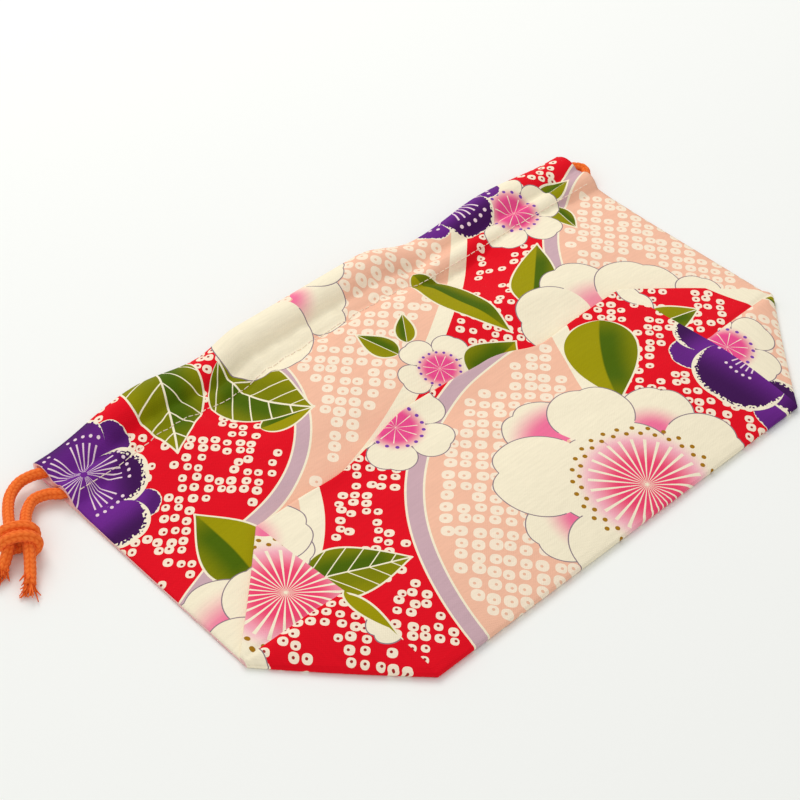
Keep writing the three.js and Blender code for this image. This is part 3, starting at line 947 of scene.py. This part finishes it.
LOW_MOTIFS = [
    ("petal", (-137, 168), (-150, 136), 14, 0.1, 0, 0),
    ("petal", (-137, 168), (-108, 160), 20, 0.1, 0, 0),
    ("petal", (-137, 168), (-112, 186), 16, 0.1, 0, 0),
    ("heart", (-137, 168), (-137, 194)),
    ("leaf", (126, 196), (136, 171), -18, 0.5, 0),
    ("petal", (111, 210), (111, 191), 12, 0.12, 0, 0),
    ("small blossom", (-28, 182), (-18.6, 204)),
    ("leaf", (-110, 218), (-73, 236.5), 26, 1, 0),
    ("leaf", (-109, 229), (-102.5, 261), -13, 0, 0),
    ("petal", (-112, 186), (-104, 203), 10, 0.1, 0, 0),
    ("petal", (-113, 186), (-100, 192), 14, 0.15, 1, 0.3),
    ("leaf", (80.5, 192.5), (46.5, 233), 31, 0, -0.7),
    ("petal", (22, 268), (12.5, 221), 14.5, 0.15, 1, 0.85),
    ("petal", (22, 268), (-21, 263.5), 13.5, 0.12, 1, 0.4),
    ("petal", (22, 268), (54, 246), 13.5, 0.12, 1, 0.3),
    ("petal", (8, 280), (8, 257), 19, 0, 0, 0),
    ("petal", (27, 280), (27, 255), 17.5, 0, 0, 0),
    ("petal", (15, 260), (15, 244), 9, 0, 0, 0),
    ("petal", (22, 268), (-6.5, 239), 20, 0.2, 0, 0),
    ("petal", (13, 264), (33, 229.5), 16.2, 0.1, 0, 0),
    ("petal", (22, 262), (54.5, 271), 16.5, 0.12, 0, 0),
    ("petal", (22, 268), (-11, 281), 16.5, 0.12, 0, 0),
    ("petal", (22, 268), (28, 302), 18, 0.12, 0, 0),
    ("heart", (21.5, 268.5), (21.5, 294.5)),
    ("dark petal", (106, 244), (91, 233), 9.5, 0.6, 0.3),
    ("dark petal", (106, 244), (106, 227), 12.5, 1.8, 0.95),
    ("dark petal", (106, 256), (93, 277), 10, 0.6, 0.3),
    ("dark petal", (106, 256), (108, 274), 12.5, 2.2, 0.95),
    ("dark petal", (114, 252), (95, 254), 18, 2.2, 0.95),
    ("stamens", (113, 251), (95, 252)),
    ("petal", (-128, 270), (-128, 280), 6.5, 0.2, 0, 0),
    ("leaf", (-150, 279), (-121, 277), 9, 0, 0),
    ("petal", (-150, 340), (-150, 327), 7.8, 0, 0, 0),
    ("small blossom", (141, 281), (138, 305)),
    ("leaf", (144, 331), (150, 320), 6, 0, 0),
]

# Surfaces. The weave is drawn about three times as coarse as it is, and the fibres coarser still, because
# neither would show otherwise
WEAVE = 1
SLUB = (9, 1.1, 1)
DYE_UNEVEN = (0.3, 0.7, 0.97, 1.03)
SHOW_THROUGH = 30
SHOWING = (0.4, 0.62)
FIBRE = 0.9
FIBRE_LIGHT = 0.5
CORD_TONES = (0.35, 1.15)
THREAD_TONES = (0.35, 0.65)
PAPER_GRAIN = 2.5
# Which of a node's outputs is taken: places on the object, an attribute as one number
ON_OBJECT, AS_NUMBER = 3, 2
SHEEN_ROUGHNESS = 0.5
COTTON_FINISH = {"bump": 0.35, "height": 0.12, "roughness": 0.85, "specular": 0.08, "sheen": 0.02}
REVERSE_FINISH = {**COTTON_FINISH, "roughness": 0.9}
CORD_FINISH = {"bump": 0.5, "height": FIBRE / 3, "roughness": 0.9, "specular": 0.08, "sheen": 0.05}
THREAD_FINISH = {"bump": 0.4, "height": FIBRE / 4, "roughness": 0.8, "specular": 0.08, "sheen": 0.05}
PAPER_FINISH = {"bump": 0.05, "height": 0.2, "roughness": 0.9, "specular": 0.1, "sheen": 0}

# The stage: places and sizes in metres, the lens in millimetres; lamps have a place, watts and a width
AZIMUTH, ELEVATION, DISTANCE = math.radians(-42.8), math.radians(43.7), 0.775
TARGET = Vector((-0.014, 0.024, 0))
LENS, SENSOR = 83.8, 36
FLOOR_SIZE = 8
FLOOR_GAP = 0.0002
LAMPS = [("key", (0.32, 1.05, 1.2), 12, 0.9), ("fill", (-1, -0.5, 1), 2.7, 1.2)]
SKY = 0.62

# Where a node's mode goes, when it follows the node's kind
MODE_SETTINGS = {
    "Math": "operation",
    "VectorMath": "operation",
    "Mix": "data_type",
    "MapRange": "interpolation_type",
    "TexNoise": "noise_dimensions",
}


def linear(colour):
    """An sRGB hex colour as the linear one that a socket takes."""
    channels = [int(colour[start:start + 2], 16) / 255 for start in (1, 3, 5)]
    return [c / 12.92 if c <= 0.04045 else ((c + 0.055) / 1.055) ** 2.4 for c in channels] + [1]


def add(tree, kind, *inputs, **settings):
    """Adds a node of a kind, such as Math ADD, with its inputs in order: links, values or colours."""
    kind, _, mode = kind.partition(" ")
    made = tree.nodes.new(kind if kind.startswith("NodeGroup") else "ShaderNode" + kind)
    if mode:
        settings[MODE_SETTINGS[kind]] = mode
    for name, value in settings.items():
        setattr(made, name, value)
    for socket, value in zip([socket for socket in made.inputs if socket.enabled], inputs):
        if isinstance(value, bpy.types.NodeSocket):
            tree.links.new(value, socket)
        elif value is not None:
            socket.default_value = linear(value) if isinstance(value, str) else value
    outputs = [socket for socket in made.outputs if socket.enabled]
    return outputs[0] if len(outputs) == 1 else outputs


def axes(start, end, half, length):
    """A motif's own directions across and along, each as long as one of its units is short."""
    ahead = (np.array(end) - start) / math.dist(start, end)
    return (ahead[1] / half, -ahead[0] / half, 0), (ahead[0] / length, ahead[1] / length, 0)


def motif(name, *numbers):
    """A group that prints a motif over those before it, with places in the motif's own units.

    Covered says where the cloth is already printed over, because the ground is only put under at the end.
    """
    tree = bpy.data.node_groups.new(name, "ShaderNodeTree")
    sockets = [("Under", "Color"), ("Covered", "Float"), ("Place", "Vector"), ("Middle", "Vector")]
    sockets += [("Across", "Vector"), ("Along", "Vector"), *((number, "Float") for number in numbers)]
    for label, kind in sockets:
        tree.interface.new_socket(label, in_out="INPUT", socket_type="NodeSocket" + kind)
    for label, kind in sockets[:2]:
        tree.interface.new_socket(label, in_out="OUTPUT", socket_type="NodeSocket" + kind)
    under, covered, place, middle, across, along, *own = add(tree, "NodeGroupInput")[:-1]
    away = add(tree, "VectorMath SUBTRACT", place, middle)
    x = add(tree, "VectorMath DOT_PRODUCT", away, across)
    y = add(tree, "VectorMath DOT_PRODUCT", away, along)
    return tree, (under, covered), x, y, *own


def end_motif(tree, before, shape, colour):
    """Lays a motif's colour over what was printed before it."""
    under, covered = before
    over = add(tree, "Mix RGBA", shape, under, colour)
    add(tree, "NodeGroupOutput", over, add(tree, "Math MAXIMUM", covered, shape))
    return tree


def leaf_motif():
    """A leaf from its stalk at 0 to its tip at 1: two greens, a resist outline and, on some, veins."""
    tree, before, across, along, *own = motif("leaf", "Line", "Slim", "Veined", "Bend")
    line, slim, veined, bend = own
    kept = add(tree, "Clamp", along, 0, 1)
    rest = add(tree, "Math SUBTRACT", 1, kept)
    bow = add(tree, "Math MULTIPLY", add(tree, "Math MULTIPLY", kept, rest), bend)
    beside = add(tree, "Math SUBTRACT", across, bow)
    from_stalk = add(tree, "Math POWER", kept, LEAF_STALK)
    to_tip = add(tree, "Math POWER", rest, LEAF_TIP)
    width = add(tree, "Math MULTIPLY", from_stalk, to_tip)
    out = add(tree, "Math ABSOLUTE", beside)
    past_side = add(tree, "Math MULTIPLY_ADD", width, -1 / LEAF_FULLEST, out)
    past_end = add(tree, "Math ABSOLUTE", add(tree, "Math SUBTRACT", along, kept))
    far = add(tree, "Math MULTIPLY", past_end, slim)
    past = add(tree, "Math ADD", past_side, far)
    # Dark beside the rib, on one half or, on a veined leaf, on both, lighter towards edge and ends
    other = add(tree, "Math MULTIPLY", veined, OTHER_HALF)
    lit = add(tree, "MapRange", beside, *RIB_EDGE, other, 1)
    shade = add(tree, "MapRange SMOOTHSTEP", out, *LEAF_SIDE_FADE)
    from_middle = add(tree, "Math ABSOLUTE", add(tree, "Math SUBTRACT", along, LEAF_MIDDLE))
    whole = add(tree, "MapRange SMOOTHSTEP", from_middle, *LEAF_END_FADE)
    beside_rib = add(tree, "Math MULTIPLY", lit, shade)
    dark = add(tree, "Math MULTIPLY", beside_rib, whole)
    green = add(tree, "Mix RGBA", dark, OLIVE, DARK_GREEN)
    slanting = add(tree, "Math MULTIPLY_ADD", out, -VEIN_SLANT, along)
    spaced = add(tree, "Math MULTIPLY", slanting, VEINS)
    vein = add(tree, "Math LESS_THAN", add(tree, "Math PINGPONG", spaced, 0.5), VEIN_SHARE)
    rib = add(tree, "Math LESS_THAN", out, RIB_SHARE)
    all_veins = add(tree, "Math MULTIPLY", vein, add(tree, "Math GREATER_THAN", veined, VEINED))
    main_rib = add(tree, "Math MULTIPLY", rib, add(tree, "Math GREATER_THAN", veined, RIBBED))
    drawn = add(tree, "Math MAXIMUM", all_veins, main_rib)
    inked = add(tree, "Mix RGBA", drawn, green, CREAM)
    inset = add(tree, "Math ADD", past, line)
    inner = add(tree, "Math LESS_THAN", inset, 0)
    leaf = add(tree, "Mix RGBA", inner, CREAM, inked)
    return end_motif(tree, before, add(tree, "Math LESS_THAN", past, line), leaf)


def petal_reach(tree, across, along, notch):
    """Distance from a petal's middle, which is 1 at its edge; its tip has a notch."""
    out = add(tree, "Math ABSOLUTE", across)
    beside_notch = add(tree, "MapRange", out, 0, NOTCH_WIDE, 1, 0)
    dent = add(tree, "Math MULTIPLY", beside_notch, beside_notch)
    wide = add(tree, "Math MULTIPLY", across, 1 / PETAL_WIDER)
    away = add(tree, "VectorMath LENGTH", add(tree, "CombineXYZ", wide, along))
    return add(tree, "Math MULTIPLY_ADD", dent, notch, away)


def petal_motif():
    """A notched cream petal, blushing pink towards its base, with a thin outline except there."""
    tree, before, across, along, *own = motif("petal", "Line", "Notch", "Blush", "Up to")
    line, notch, blush, up_to = own
    reach = petal_reach(tree, across, along, notch)
    tipward = add(tree, "Math GREATER_THAN", along, -PETAL_BASE)
    ringed = add(tree, "Math COMPARE", reach, 1, line)
    edge = add(tree, "Math MULTIPLY", ringed, tipward)
    shape = add(tree, "Math MAXIMUM", add(tree, "Math LESS_THAN", reach, 1), edge)
    from_base = add(tree, "VectorMath DISTANCE", add(tree, "CombineXYZ", across, along), (0, -1, 0))
    below = add(tree, "Math SUBTRACT", from_base, up_to)
    warm = add(tree, "MapRange SMOOTHSTEP", below, 1 - BLUSH_REACH, 1, blush, 0)
    tone = add(tree, "Mix RGBA", warm, CREAM, BLUSH)
    return end_motif(tree, before, shape, add(tree, "Mix RGBA", edge, tone, OUTLINE))


def dark_petal_motif():
    """A purple petal, darker towards its tip, which has a ragged resist rim."""
    tree, before, across, along, rim, shade, ragged = motif("dark petal", "Rim", "Shade", "Ragged")
    reach = petal_reach(tree, across, along, DARK_NOTCH)
    teeth = add(tree, "MapRange", ragged, *RIM_TEETH)
    tipward = add(tree, "MapRange SMOOTHSTEP", along, *RIM_FADE, 0, rim)
    rimmed = add(tree, "Math MULTIPLY_ADD", teeth, tipward, reach)
    inner = add(tree, "Math LESS_THAN", rimmed, 1)
    deep = add(tree, "MapRange SMOOTHSTEP", along, *DARK_FADE, 0, shade)
    tone = add(tree, "Mix RGBA", deep, PURPLE, DARK_PURPLE)
    petal = add(tree, "Mix RGBA", inner, CREAM, tone)
    return end_motif(tree, before, add(tree, "Math LESS_THAN", reach, 1), petal)


def around(tree, across, along):
    """Distance from a motif's middle, and the share of a turn round it."""
    away = add(tree, "VectorMath LENGTH", add(tree, "CombineXYZ", across, along))
    angle = add(tree, "Math ARCTAN2", across, along)
    return away, add(tree, "Math MULTIPLY", angle, 1 / (2 * math.pi))


def beside_ray(tree, share, count):
    """How far round from the nearest of a number of rays: 0 on a ray, 0.5 half way to the next."""
    return add(tree, "Math PINGPONG", add(tree, "Math MULTIPLY", share, count), 0.5)


def rays(tree, away, beside, count, thick, start, end):
    """Straight rays out of a middle, thinner towards it."""
    spacing = thick * count / (2 * math.pi)
    limit = add(tree, "Math MULTIPLY_ADD", away, spacing * (1 - RAY_TAPER), spacing * RAY_TAPER)
    thin = add(tree, "Math LESS_THAN", add(tree, "Math MULTIPLY", beside, away), limit)
    between = add(tree, "Math COMPARE", away, (start + end) / 2, (end - start) / 2)
    return add(tree, "Math MULTIPLY", thin, between)


def ring_of_dots(tree, away, beside, count, radius, dot):
    """Round dots in a ring, one on each ray."""
    aside = add(tree, "Math MULTIPLY", beside, 2 * math.pi / count * radius)
    to_ring = add(tree, "Math SUBTRACT", away, radius)
    reach = add(tree, "VectorMath LENGTH", add(tree, "CombineXYZ", aside, to_ring))
    return add(tree, "Math LESS_THAN", reach, dot)


def heart_motif():
    """The pink heart of a large blossom, with resist rays and a double ring of gold dots."""
    tree, before, across, along = motif("heart")
    away, share = around(tree, across, along)
    paler = add(tree, "MapRange SMOOTHSTEP", away, *HEART_FADE)
    tone = add(tree, "Mix RGBA", paler, HOT_PINK, PALE_PINK)
    soft = add(tree, "MapRange SMOOTHSTEP", away, *HEART_EDGE)
    lines = rays(tree, away, beside_ray(tree, share, HEART_RAYS[0]), *HEART_RAYS)
    rayed = add(tree, "Mix RGBA", lines, tone, CREAM)
    inner_dots, outer_dots = HEART_DOTS
    near_dot = beside_ray(tree, share, inner_dots[0])
    inner = ring_of_dots(tree, away, near_dot, *inner_dots)
    past_dot = add(tree, "Math SUBTRACT", 0.5, near_dot)
    outer = ring_of_dots(tree, away, past_dot, *outer_dots)
    dots = add(tree, "Math MAXIMUM", inner, outer)
    dotted = add(tree, "Mix RGBA", dots, rayed, GOLD)
    return end_motif(tree, before, add(tree, "Math MAXIMUM", soft, dots), dotted)


def small_blossom_motif():
    """A small five-petalled blossom with a pink heart, resist rays and a ring of purple dots."""
    tree, before, x, y, line = motif("small blossom", "Line")
    away, share = around(tree, x, y)
    near_petal = beside_ray(tree, share, BLOSSOM_PETALS)
    angle = add(tree, "Math MULTIPLY", near_petal, 2 * math.pi / BLOSSOM_PETALS)
    across = add(tree, "Math MULTIPLY", add(tree, "Math SINE", angle), away)
    along = add(tree, "Math MULTIPLY", add(tree, "Math COSINE", angle), away)
    spot = add(tree, "CombineXYZ", across, along)
    reach = add(tree, "VectorMath DISTANCE", spot, (*SMALL_LOBE_AT, 0))
    near = add(tree, "Math LESS_THAN", away, SMALL_MIDDLE)
    lobes = add(tree, "Math LESS_THAN", reach, SMALL_LOBE)
    outlined = add(tree, "Math COMPARE", reach, SMALL_LOBE, line)
    edge = add(tree, "Math GREATER_THAN", outlined, near)
    shape = add(tree, "Math MAXIMUM", add(tree, "Math MAXIMUM", lobes, near), edge)
    warm = add(tree, "MapRange SMOOTHSTEP", away, *SMALL_HEART_FADE)
    tone = add(tree, "Mix RGBA", warm, SMALL_HEART, CREAM)
    lines = rays(tree, away, beside_ray(tree, share, SMALL_RAYS[0]), *SMALL_RAYS)
    rayed = add(tree, "Mix RGBA", lines, tone, CREAM)
    dots = ring_of_dots(tree, away, beside_ray(tree, share, SMALL_DOTS[0]), *SMALL_DOTS)
    dotted = add(tree, "Mix RGBA", dots, rayed, VIOLET)
    return end_motif(tree, before, shape, add(tree, "Mix RGBA", edge, dotted, OUTLINE))


def stamen_motif():
    """Bundles of resist stamens with dots at their ends, over a purple blossom."""
    tree, before, across, along = motif("stamens")
    away, share = around(tree, across, along)
    bundled = add(tree, "Math LESS_THAN", beside_ray(tree, share, BLOSSOM_PETALS), BUNDLE_SHARE)
    beside = beside_ray(tree, share, STAMEN_RAYS[0])
    lines = rays(tree, away, beside, *STAMEN_RAYS)
    dots = ring_of_dots(tree, away, beside, *STAMEN_DOTS)
    both = add(tree, "Math MAXIMUM", lines, dots)
    return end_motif(tree, before, add(tree, "Math MULTIPLY", both, bundled), STAMEN)


def field_over(tree, under, place, field):
    """A round field of one colour, with a ring round it and a thin resist line at both edges."""
    u, v, radius, ring, inside, band = field
    away = add(tree, "VectorMath DISTANCE", place, (u, v, 0))
    colour = under
    for reach, over in ((radius + ring, band), (radius, inside)):
        within = add(tree, "Math LESS_THAN", away, reach)
        colour = add(tree, "Mix RGBA", within, colour, over)
        line = add(tree, "Math COMPARE", away, reach, RESIST_LINE)
        colour = add(tree, "Mix RGBA", line, colour, CREAM)
    return colour


def straightened(tree, place):
    """Places, moved near the knot's end, where the edge of the red field runs on nearly straight."""
    u, v, _ = add(tree, "SeparateXYZ", place)
    left = add(tree, "Math MINIMUM", add(tree, "Math SUBTRACT", u, RED_DISC[0]), 0)
    raised = add(tree, "Math MULTIPLY_ADD", left, FIELD_SLOPE, v)
    return add(tree, "CombineXYZ", add(tree, "Math MAXIMUM", u, RED_DISC[0]), raised)


def sloping(tree, place, slope, start):
    """How far across the cloth a place lies past a line that slopes."""
    u, v, _ = add(tree, "SeparateXYZ", place)
    across = add(tree, "Math MULTIPLY_ADD", v, slope, u)
    return add(tree, "Math SUBTRACT", across, start)


def in_field(tree, place, field):
    """How deep a place lies in a round field, inside its ring."""
    u, v, radius = field[:3]
    return add(tree, "Math SUBTRACT", radius, add(tree, "VectorMath DISTANCE", place, (u, v, 0)))


def past_ring(tree, place, field):
    """How far a place lies outside a round field and its ring."""
    u, v, radius, ring = field[:4]
    return add(tree, "Math SUBTRACT", add(tree, "VectorMath DISTANCE", place, (u, v, 0)), radius + ring)


def front_fields(tree, place):
    """Ground colours of the front."""
    colour = field_over(tree, RED, place, SALMON_DISC)
    colour = field_over(tree, colour, straightened(tree, place), RED_DISC)
    return field_over(tree, colour, place, SIDE_DISC)


def front_depths(tree, place):
    """How deep a place lies in the salmon fields of the front, and in its red ones."""
    straight = straightened(tree, place)
    in_arc, in_side = (in_field(tree, place, field) for field in (SALMON_DISC, SIDE_DISC))
    arc = add(tree, "Math MINIMUM", in_arc, past_ring(tree, straight, RED_DISC))
    salmon = add(tree, "Math MAXIMUM", arc, in_side)
    past_arc, past_side = (past_ring(tree, place, field) for field in (SALMON_DISC, SIDE_DISC))
    past_both = add(tree, "Math MINIMUM", past_arc, past_side)
    return salmon, add(tree, "Math MAXIMUM", past_both, in_field(tree, straight, RED_DISC))


def low_fields(tree, place):
    """Ground colours of the turned-up bottom, the underside and the back."""
    colour = field_over(tree, RED, place, FLAP_DISC)
    for slope, start, over in ((STRIP_SLOPE, STRIP_START, CREAM), (RED_SLOPE, RED_START, RED)):
        past = add(tree, "Math GREATER_THAN", sloping(tree, place, slope, start), 0)
        colour = add(tree, "Mix RGBA", past, colour, over)
    for field in (CORNER_DISC, LEFT_DISC, TIP_DISC):
        colour = field_over(tree, colour, place, field)
    return colour


def low_depths(tree, place):
    """How deep a place lies in the salmon fields of the turned-up bottom, and in its red ones."""
    before_strip = add(tree, "Math SUBTRACT", 0, sloping(tree, place, STRIP_SLOPE, STRIP_START))
    flap = add(tree, "Math MINIMUM", in_field(tree, place, FLAP_DISC), before_strip)
    salmon = add(tree, "Math MAXIMUM", flap, in_field(tree, place, CORNER_DISC))
    beyond_strip = sloping(tree, place, RED_SLOPE, RED_START)
    red = add(tree, "Math MAXIMUM", past_ring(tree, place, FLAP_DISC), beyond_strip)
    for field in (CORNER_DISC, LEFT_DISC, TIP_DISC):
        red = add(tree, "Math MINIMUM", red, past_ring(tree, place, field))
    return salmon, red


def kanoko_dots(tree, under, place, depths):
    """Clusters of tied-dye dots: rounded squares with a hole, larger and neater on salmon than on red."""
    on_salmon = add(tree, "Math GREATER_THAN", depths(tree, place)[0], 0)
    # Each of these is for red, then for salmon
    spacing, stray, margin, patchy, size, hole = (
        add(tree, "Mix FLOAT", on_salmon, *pair)
        for pair in (DOT_DENSITY, DOT_STRAY, DOT_MARGIN, DOT_PATCHES, DOT_SIZE, DOT_HOLE)
    )
    turned = add(tree, "VectorRotate", place, None, DOT_TURN, rotation_type="Z_AXIS")
    near, chance, middle = add(
        tree, "TexVoronoi", turned, spacing, None, None, None, DOT_SQUARENESS, stray,
        voronoi_dimensions="2D", distance="MINKOWSKI",
    )
    cell = add(tree, "VectorRotate", middle, None, -DOT_TURN, rotation_type="Z_AXIS")
    depth = add(tree, "Mix FLOAT", on_salmon, *depths(tree, cell)[::-1])
    inside = add(tree, "Math GREATER_THAN", depth, margin)
    patches = add(tree, "TexNoise 2D", cell, 1 / DOT_PATCH, 1)[0]
    many = add(tree, "Math GREATER_THAN", patches, patchy)
    odds = add(tree, "VectorMath SUBTRACT", chance, (0.5, 0.5, 0.5))
    larger = add(tree, "Math MULTIPLY_ADD", add(tree, "SeparateXYZ", odds)[2], DOT_VARIES, size)
    dot = add(tree, "Math LESS_THAN", near, larger)
    off = add(tree, "VectorMath SUBTRACT", turned, middle)
    aside = add(tree, "VectorMath SCALE", odds, DOT_HOLE_ASIDE)
    to_hole = add(tree, "VectorMath MULTIPLY", add(tree, "VectorMath SUBTRACT", off, aside), (1, 1, 0))
    holed = add(tree, "Math LESS_THAN", add(tree, "VectorMath LENGTH", to_hole), hole)
    dye = add(tree, "Mix RGBA", on_salmon, DARK_HOLE, PALE_HOLE)
    drawn = add(tree, "Mix RGBA", holed, DOT_PALE, dye)
    chosen = add(tree, "Math MULTIPLY", add(tree, "Math MULTIPLY", inside, many), dot)
    return add(tree, "Mix RGBA", chosen, under, drawn)


def print_motifs(tree, place, ragged, motifs):
    """Leaves and blossoms, each over those before it: their colour, and where they cover the ground."""
    printed = (CREAM, 0)
    for kind, start, end, *facts in motifs:
        if kind == "leaf":
            width, veined, bend = facts
            length = math.dist(start, end)
            own = (RESIST_LINE * 2 / abs(width), length * 2 / abs(width), veined, bend)
            at, directions = start, axes(start, end, width / 2, length)
        elif kind == "petal":
            radius, *looks = facts
            own = (PEN_LINE / radius, *looks)
            at, directions = end, axes(start, end, radius, radius)
        elif kind == "dark petal":
            radius, rim, shade = facts
            own = (rim / radius, shade, ragged)
            at, directions = end, axes(start, end, radius, radius)
        else:
            radius = math.dist(start, end)
            own = (PEN_LINE / radius,)
            at, directions = start, axes(start, end, radius, radius)
        printed = add(tree, "Group", *printed, place, (*at, 0), *directions, *own, node_tree=MOTIFS[kind])
    return printed


def weave(tree, place):
    """A plain weave as a height: threads over and under each other."""
    u, v, _ = add(tree, "SeparateXYZ", place)
    turns = 2 * math.pi / WEAVE
    warp = add(tree, "Math SINE", add(tree, "Math MULTIPLY", u, turns))
    weft = add(tree, "Math SINE", add(tree, "Math MULTIPLY", v, turns))
    return add(tree, "Math MULTIPLY", warp, weft)


def new_material(name):
    material = bpy.data.materials.new(name)
    material.use_nodes = True
    material.node_tree.nodes.clear()
    return material, material.node_tree


def finish_material(tree, colour, relief, bump, height, roughness, specular, sheen):
    """Ends a matte material with its relief; what is the same all over is set on the shader itself."""
    normal = add(tree, "Bump", bump, height * MM, None, relief)
    shader = tree.nodes.new("ShaderNodeBsdfPrincipled")
    if isinstance(colour, str):
        shader.inputs["Base Color"].default_value = linear(colour)
    else:
        tree.links.new(colour, shader.inputs["Base Color"])
    tree.links.new(normal, shader.inputs["Normal"])
    shader.inputs["Roughness"].default_value = roughness
    shader.inputs["Specular IOR Level"].default_value = specular
    shader.inputs["Sheen Weight"].default_value = sheen
    shader.inputs["Sheen Roughness"].default_value = SHEEN_ROUGHNESS
    add(tree, "OutputMaterial", shader.outputs[0])


def printed_cotton(name, fields, depths, motifs):
    """Dyed and printed plain-weave cotton: matte, with crisp resist lines, weave and uneven threads."""
    material, tree = new_material(name)
    metres = add(tree, "UVMap", uv_map="cloth")
    place = add(tree, "VectorMath SCALE", metres, 1 / MM)
    ragged = add(tree, "TexNoise 2D", metres, 1 / (TOOTH * MM), 0)[0]
    printed, covered = print_motifs(tree, place, ragged, motifs)
    ground = kanoko_dots(tree, fields(tree, place), place, depths)
    colour = add(tree, "Mix RGBA", covered, ground, printed)
    threads = add(tree, "Mapping", place, None, None, SLUB, vector_type="TEXTURE")
    uneven = add(tree, "MapRange", add(tree, "TexNoise", threads, 1, 2)[0], *DYE_UNEVEN)
    dyed = add(tree, "VectorMath SCALE", colour, uneven)
    finish_material(tree, dyed, weave(tree, place), **COTTON_FINISH)
    return material


def cotton_reverse():
    """The unprinted side of the same cotton: pale, with the dye showing through unevenly."""
    material, tree = new_material("cotton_reverse")
    place = add(tree, "VectorMath SCALE", add(tree, "UVMap", uv_map="cloth"), 1 / MM)
    through = add(tree, "TexNoise 2D", place, 1 / SHOW_THROUGH, 3)[0]
    colour = add(tree, "Mix RGBA", add(tree, "MapRange", through, *SHOWING), REVERSE, PALE_PINK)
    finish_material(tree, colour, weave(tree, place), **REVERSE_FINISH)
    return material


def braided_cotton():
    """Soft orange cotton braid: matte strands with painted shade in the grooves between them, and short
    fibres.
    """
    material, tree = new_material("braided_orange_cotton")
    place = add(tree, "TexCoord")[ON_OBJECT]
    relief = add(tree, "Attribute", attribute_name="relief")[AS_NUMBER]
    fibres = add(tree, "TexNoise", place, 1 / (FIBRE * MM), 3)[0]
    # Painted shade: low relief, in the braid's grooves, turns the colour towards the painted shade
    # colour; the fibres vary it at random
    lit = add(tree, "Math MULTIPLY_ADD", fibres, FIBRE_LIGHT, relief)
    colour = add(tree, "Mix RGBA", add(tree, "MapRange", lit, *CORD_TONES), CORD_PAINTED_SHADE, CORD_ORANGE)
    finish_material(tree, colour, fibres, **CORD_FINISH)
    return material


def sewing_thread():
    """Spun cotton thread: matte, its twist showing as fine light and dark."""
    material, tree = new_material("spun_cotton_thread")
    twist = add(tree, "TexNoise", add(tree, "TexCoord")[ON_OBJECT], 1 / (FIBRE * MM), 2)[0]
    colour = add(tree, "Mix RGBA", add(tree, "MapRange", twist, *THREAD_TONES), THREAD_COLOUR, CREAM)
    finish_material(tree, colour, twist, **THREAD_FINISH)
    return material


def white_paper():
    """Smooth matte paper under the bag, with a grain that hardly shows."""
    material, tree = new_material("white_paper_floor")
    grain = add(tree, "TexNoise", add(tree, "TexCoord")[ON_OBJECT], 1 / (PAPER_GRAIN * MM), 2)[0]
    finish_material(tree, FLOOR_COLOUR, grain, **PAPER_FINISH)
    return material


MOTIFS = {
    "leaf": leaf_motif(),
    "petal": petal_motif(),
    "dark petal": dark_petal_motif(),
    "heart": heart_motif(),
    "small blossom": small_blossom_motif(),
    "stamens": stamen_motif(),
}
for material in (
    printed_cotton("printed_cotton_front", front_fields, front_depths, FRONT_MOTIFS),
    printed_cotton("printed_cotton_bottom", low_fields, low_depths, LOW_MOTIFS),
    cotton_reverse(),
):
    cloth.data.materials.append(material)
orange_braid = braided_cotton()
for piece in (drawcord, knot, fray):
    piece.data.materials.append(orange_braid)
stitches.data.materials.clear()
stitches.data.materials.append(sewing_thread())

# Camera, fitted to the folded outline in the photo
camera = bpy.data.objects.new("camera", bpy.data.cameras.new("camera"))
bpy.context.scene.collection.objects.link(camera)
back = Vector((
    math.sin(AZIMUTH) * math.cos(ELEVATION),
    -math.cos(AZIMUTH) * math.cos(ELEVATION),
    math.sin(ELEVATION),
))
camera.location = TARGET + back * DISTANCE
camera.rotation_euler = (-back).to_track_quat("-Z", "Y").to_euler()
camera.data.lens = LENS
camera.data.sensor_width = SENSOR
bpy.context.scene.camera = camera

# Pale floor, and soft studio light from behind the mouth
bpy.ops.object.select_all(action="DESELECT")
bpy.ops.mesh.primitive_plane_add(size=FLOOR_SIZE, location=(0, 0, -FLOOR_GAP))
floor = bpy.context.object
floor.name = "floor"
floor.data.materials.append(white_paper())

for name, place, watts, size in LAMPS:
    lamp = bpy.data.objects.new(name, bpy.data.lights.new(name, "AREA"))
    bpy.context.scene.collection.objects.link(lamp)
    lamp.data.energy = watts
    lamp.data.size = size
    lamp.location = place
    lamp.rotation_euler = (-lamp.location).to_track_quat("-Z", "Y").to_euler()
world = bpy.data.worlds.new("studio")
world.use_nodes = True
sky = world.node_tree.nodes["Background"]
sky.inputs["Color"].default_value = (1, 1, 1, 1)
sky.inputs["Strength"].default_value = SKY
bpy.context.scene.world = world
bpy.context.scene.view_settings.view_transform = "Standard"

bpy.context.view_layer.update()
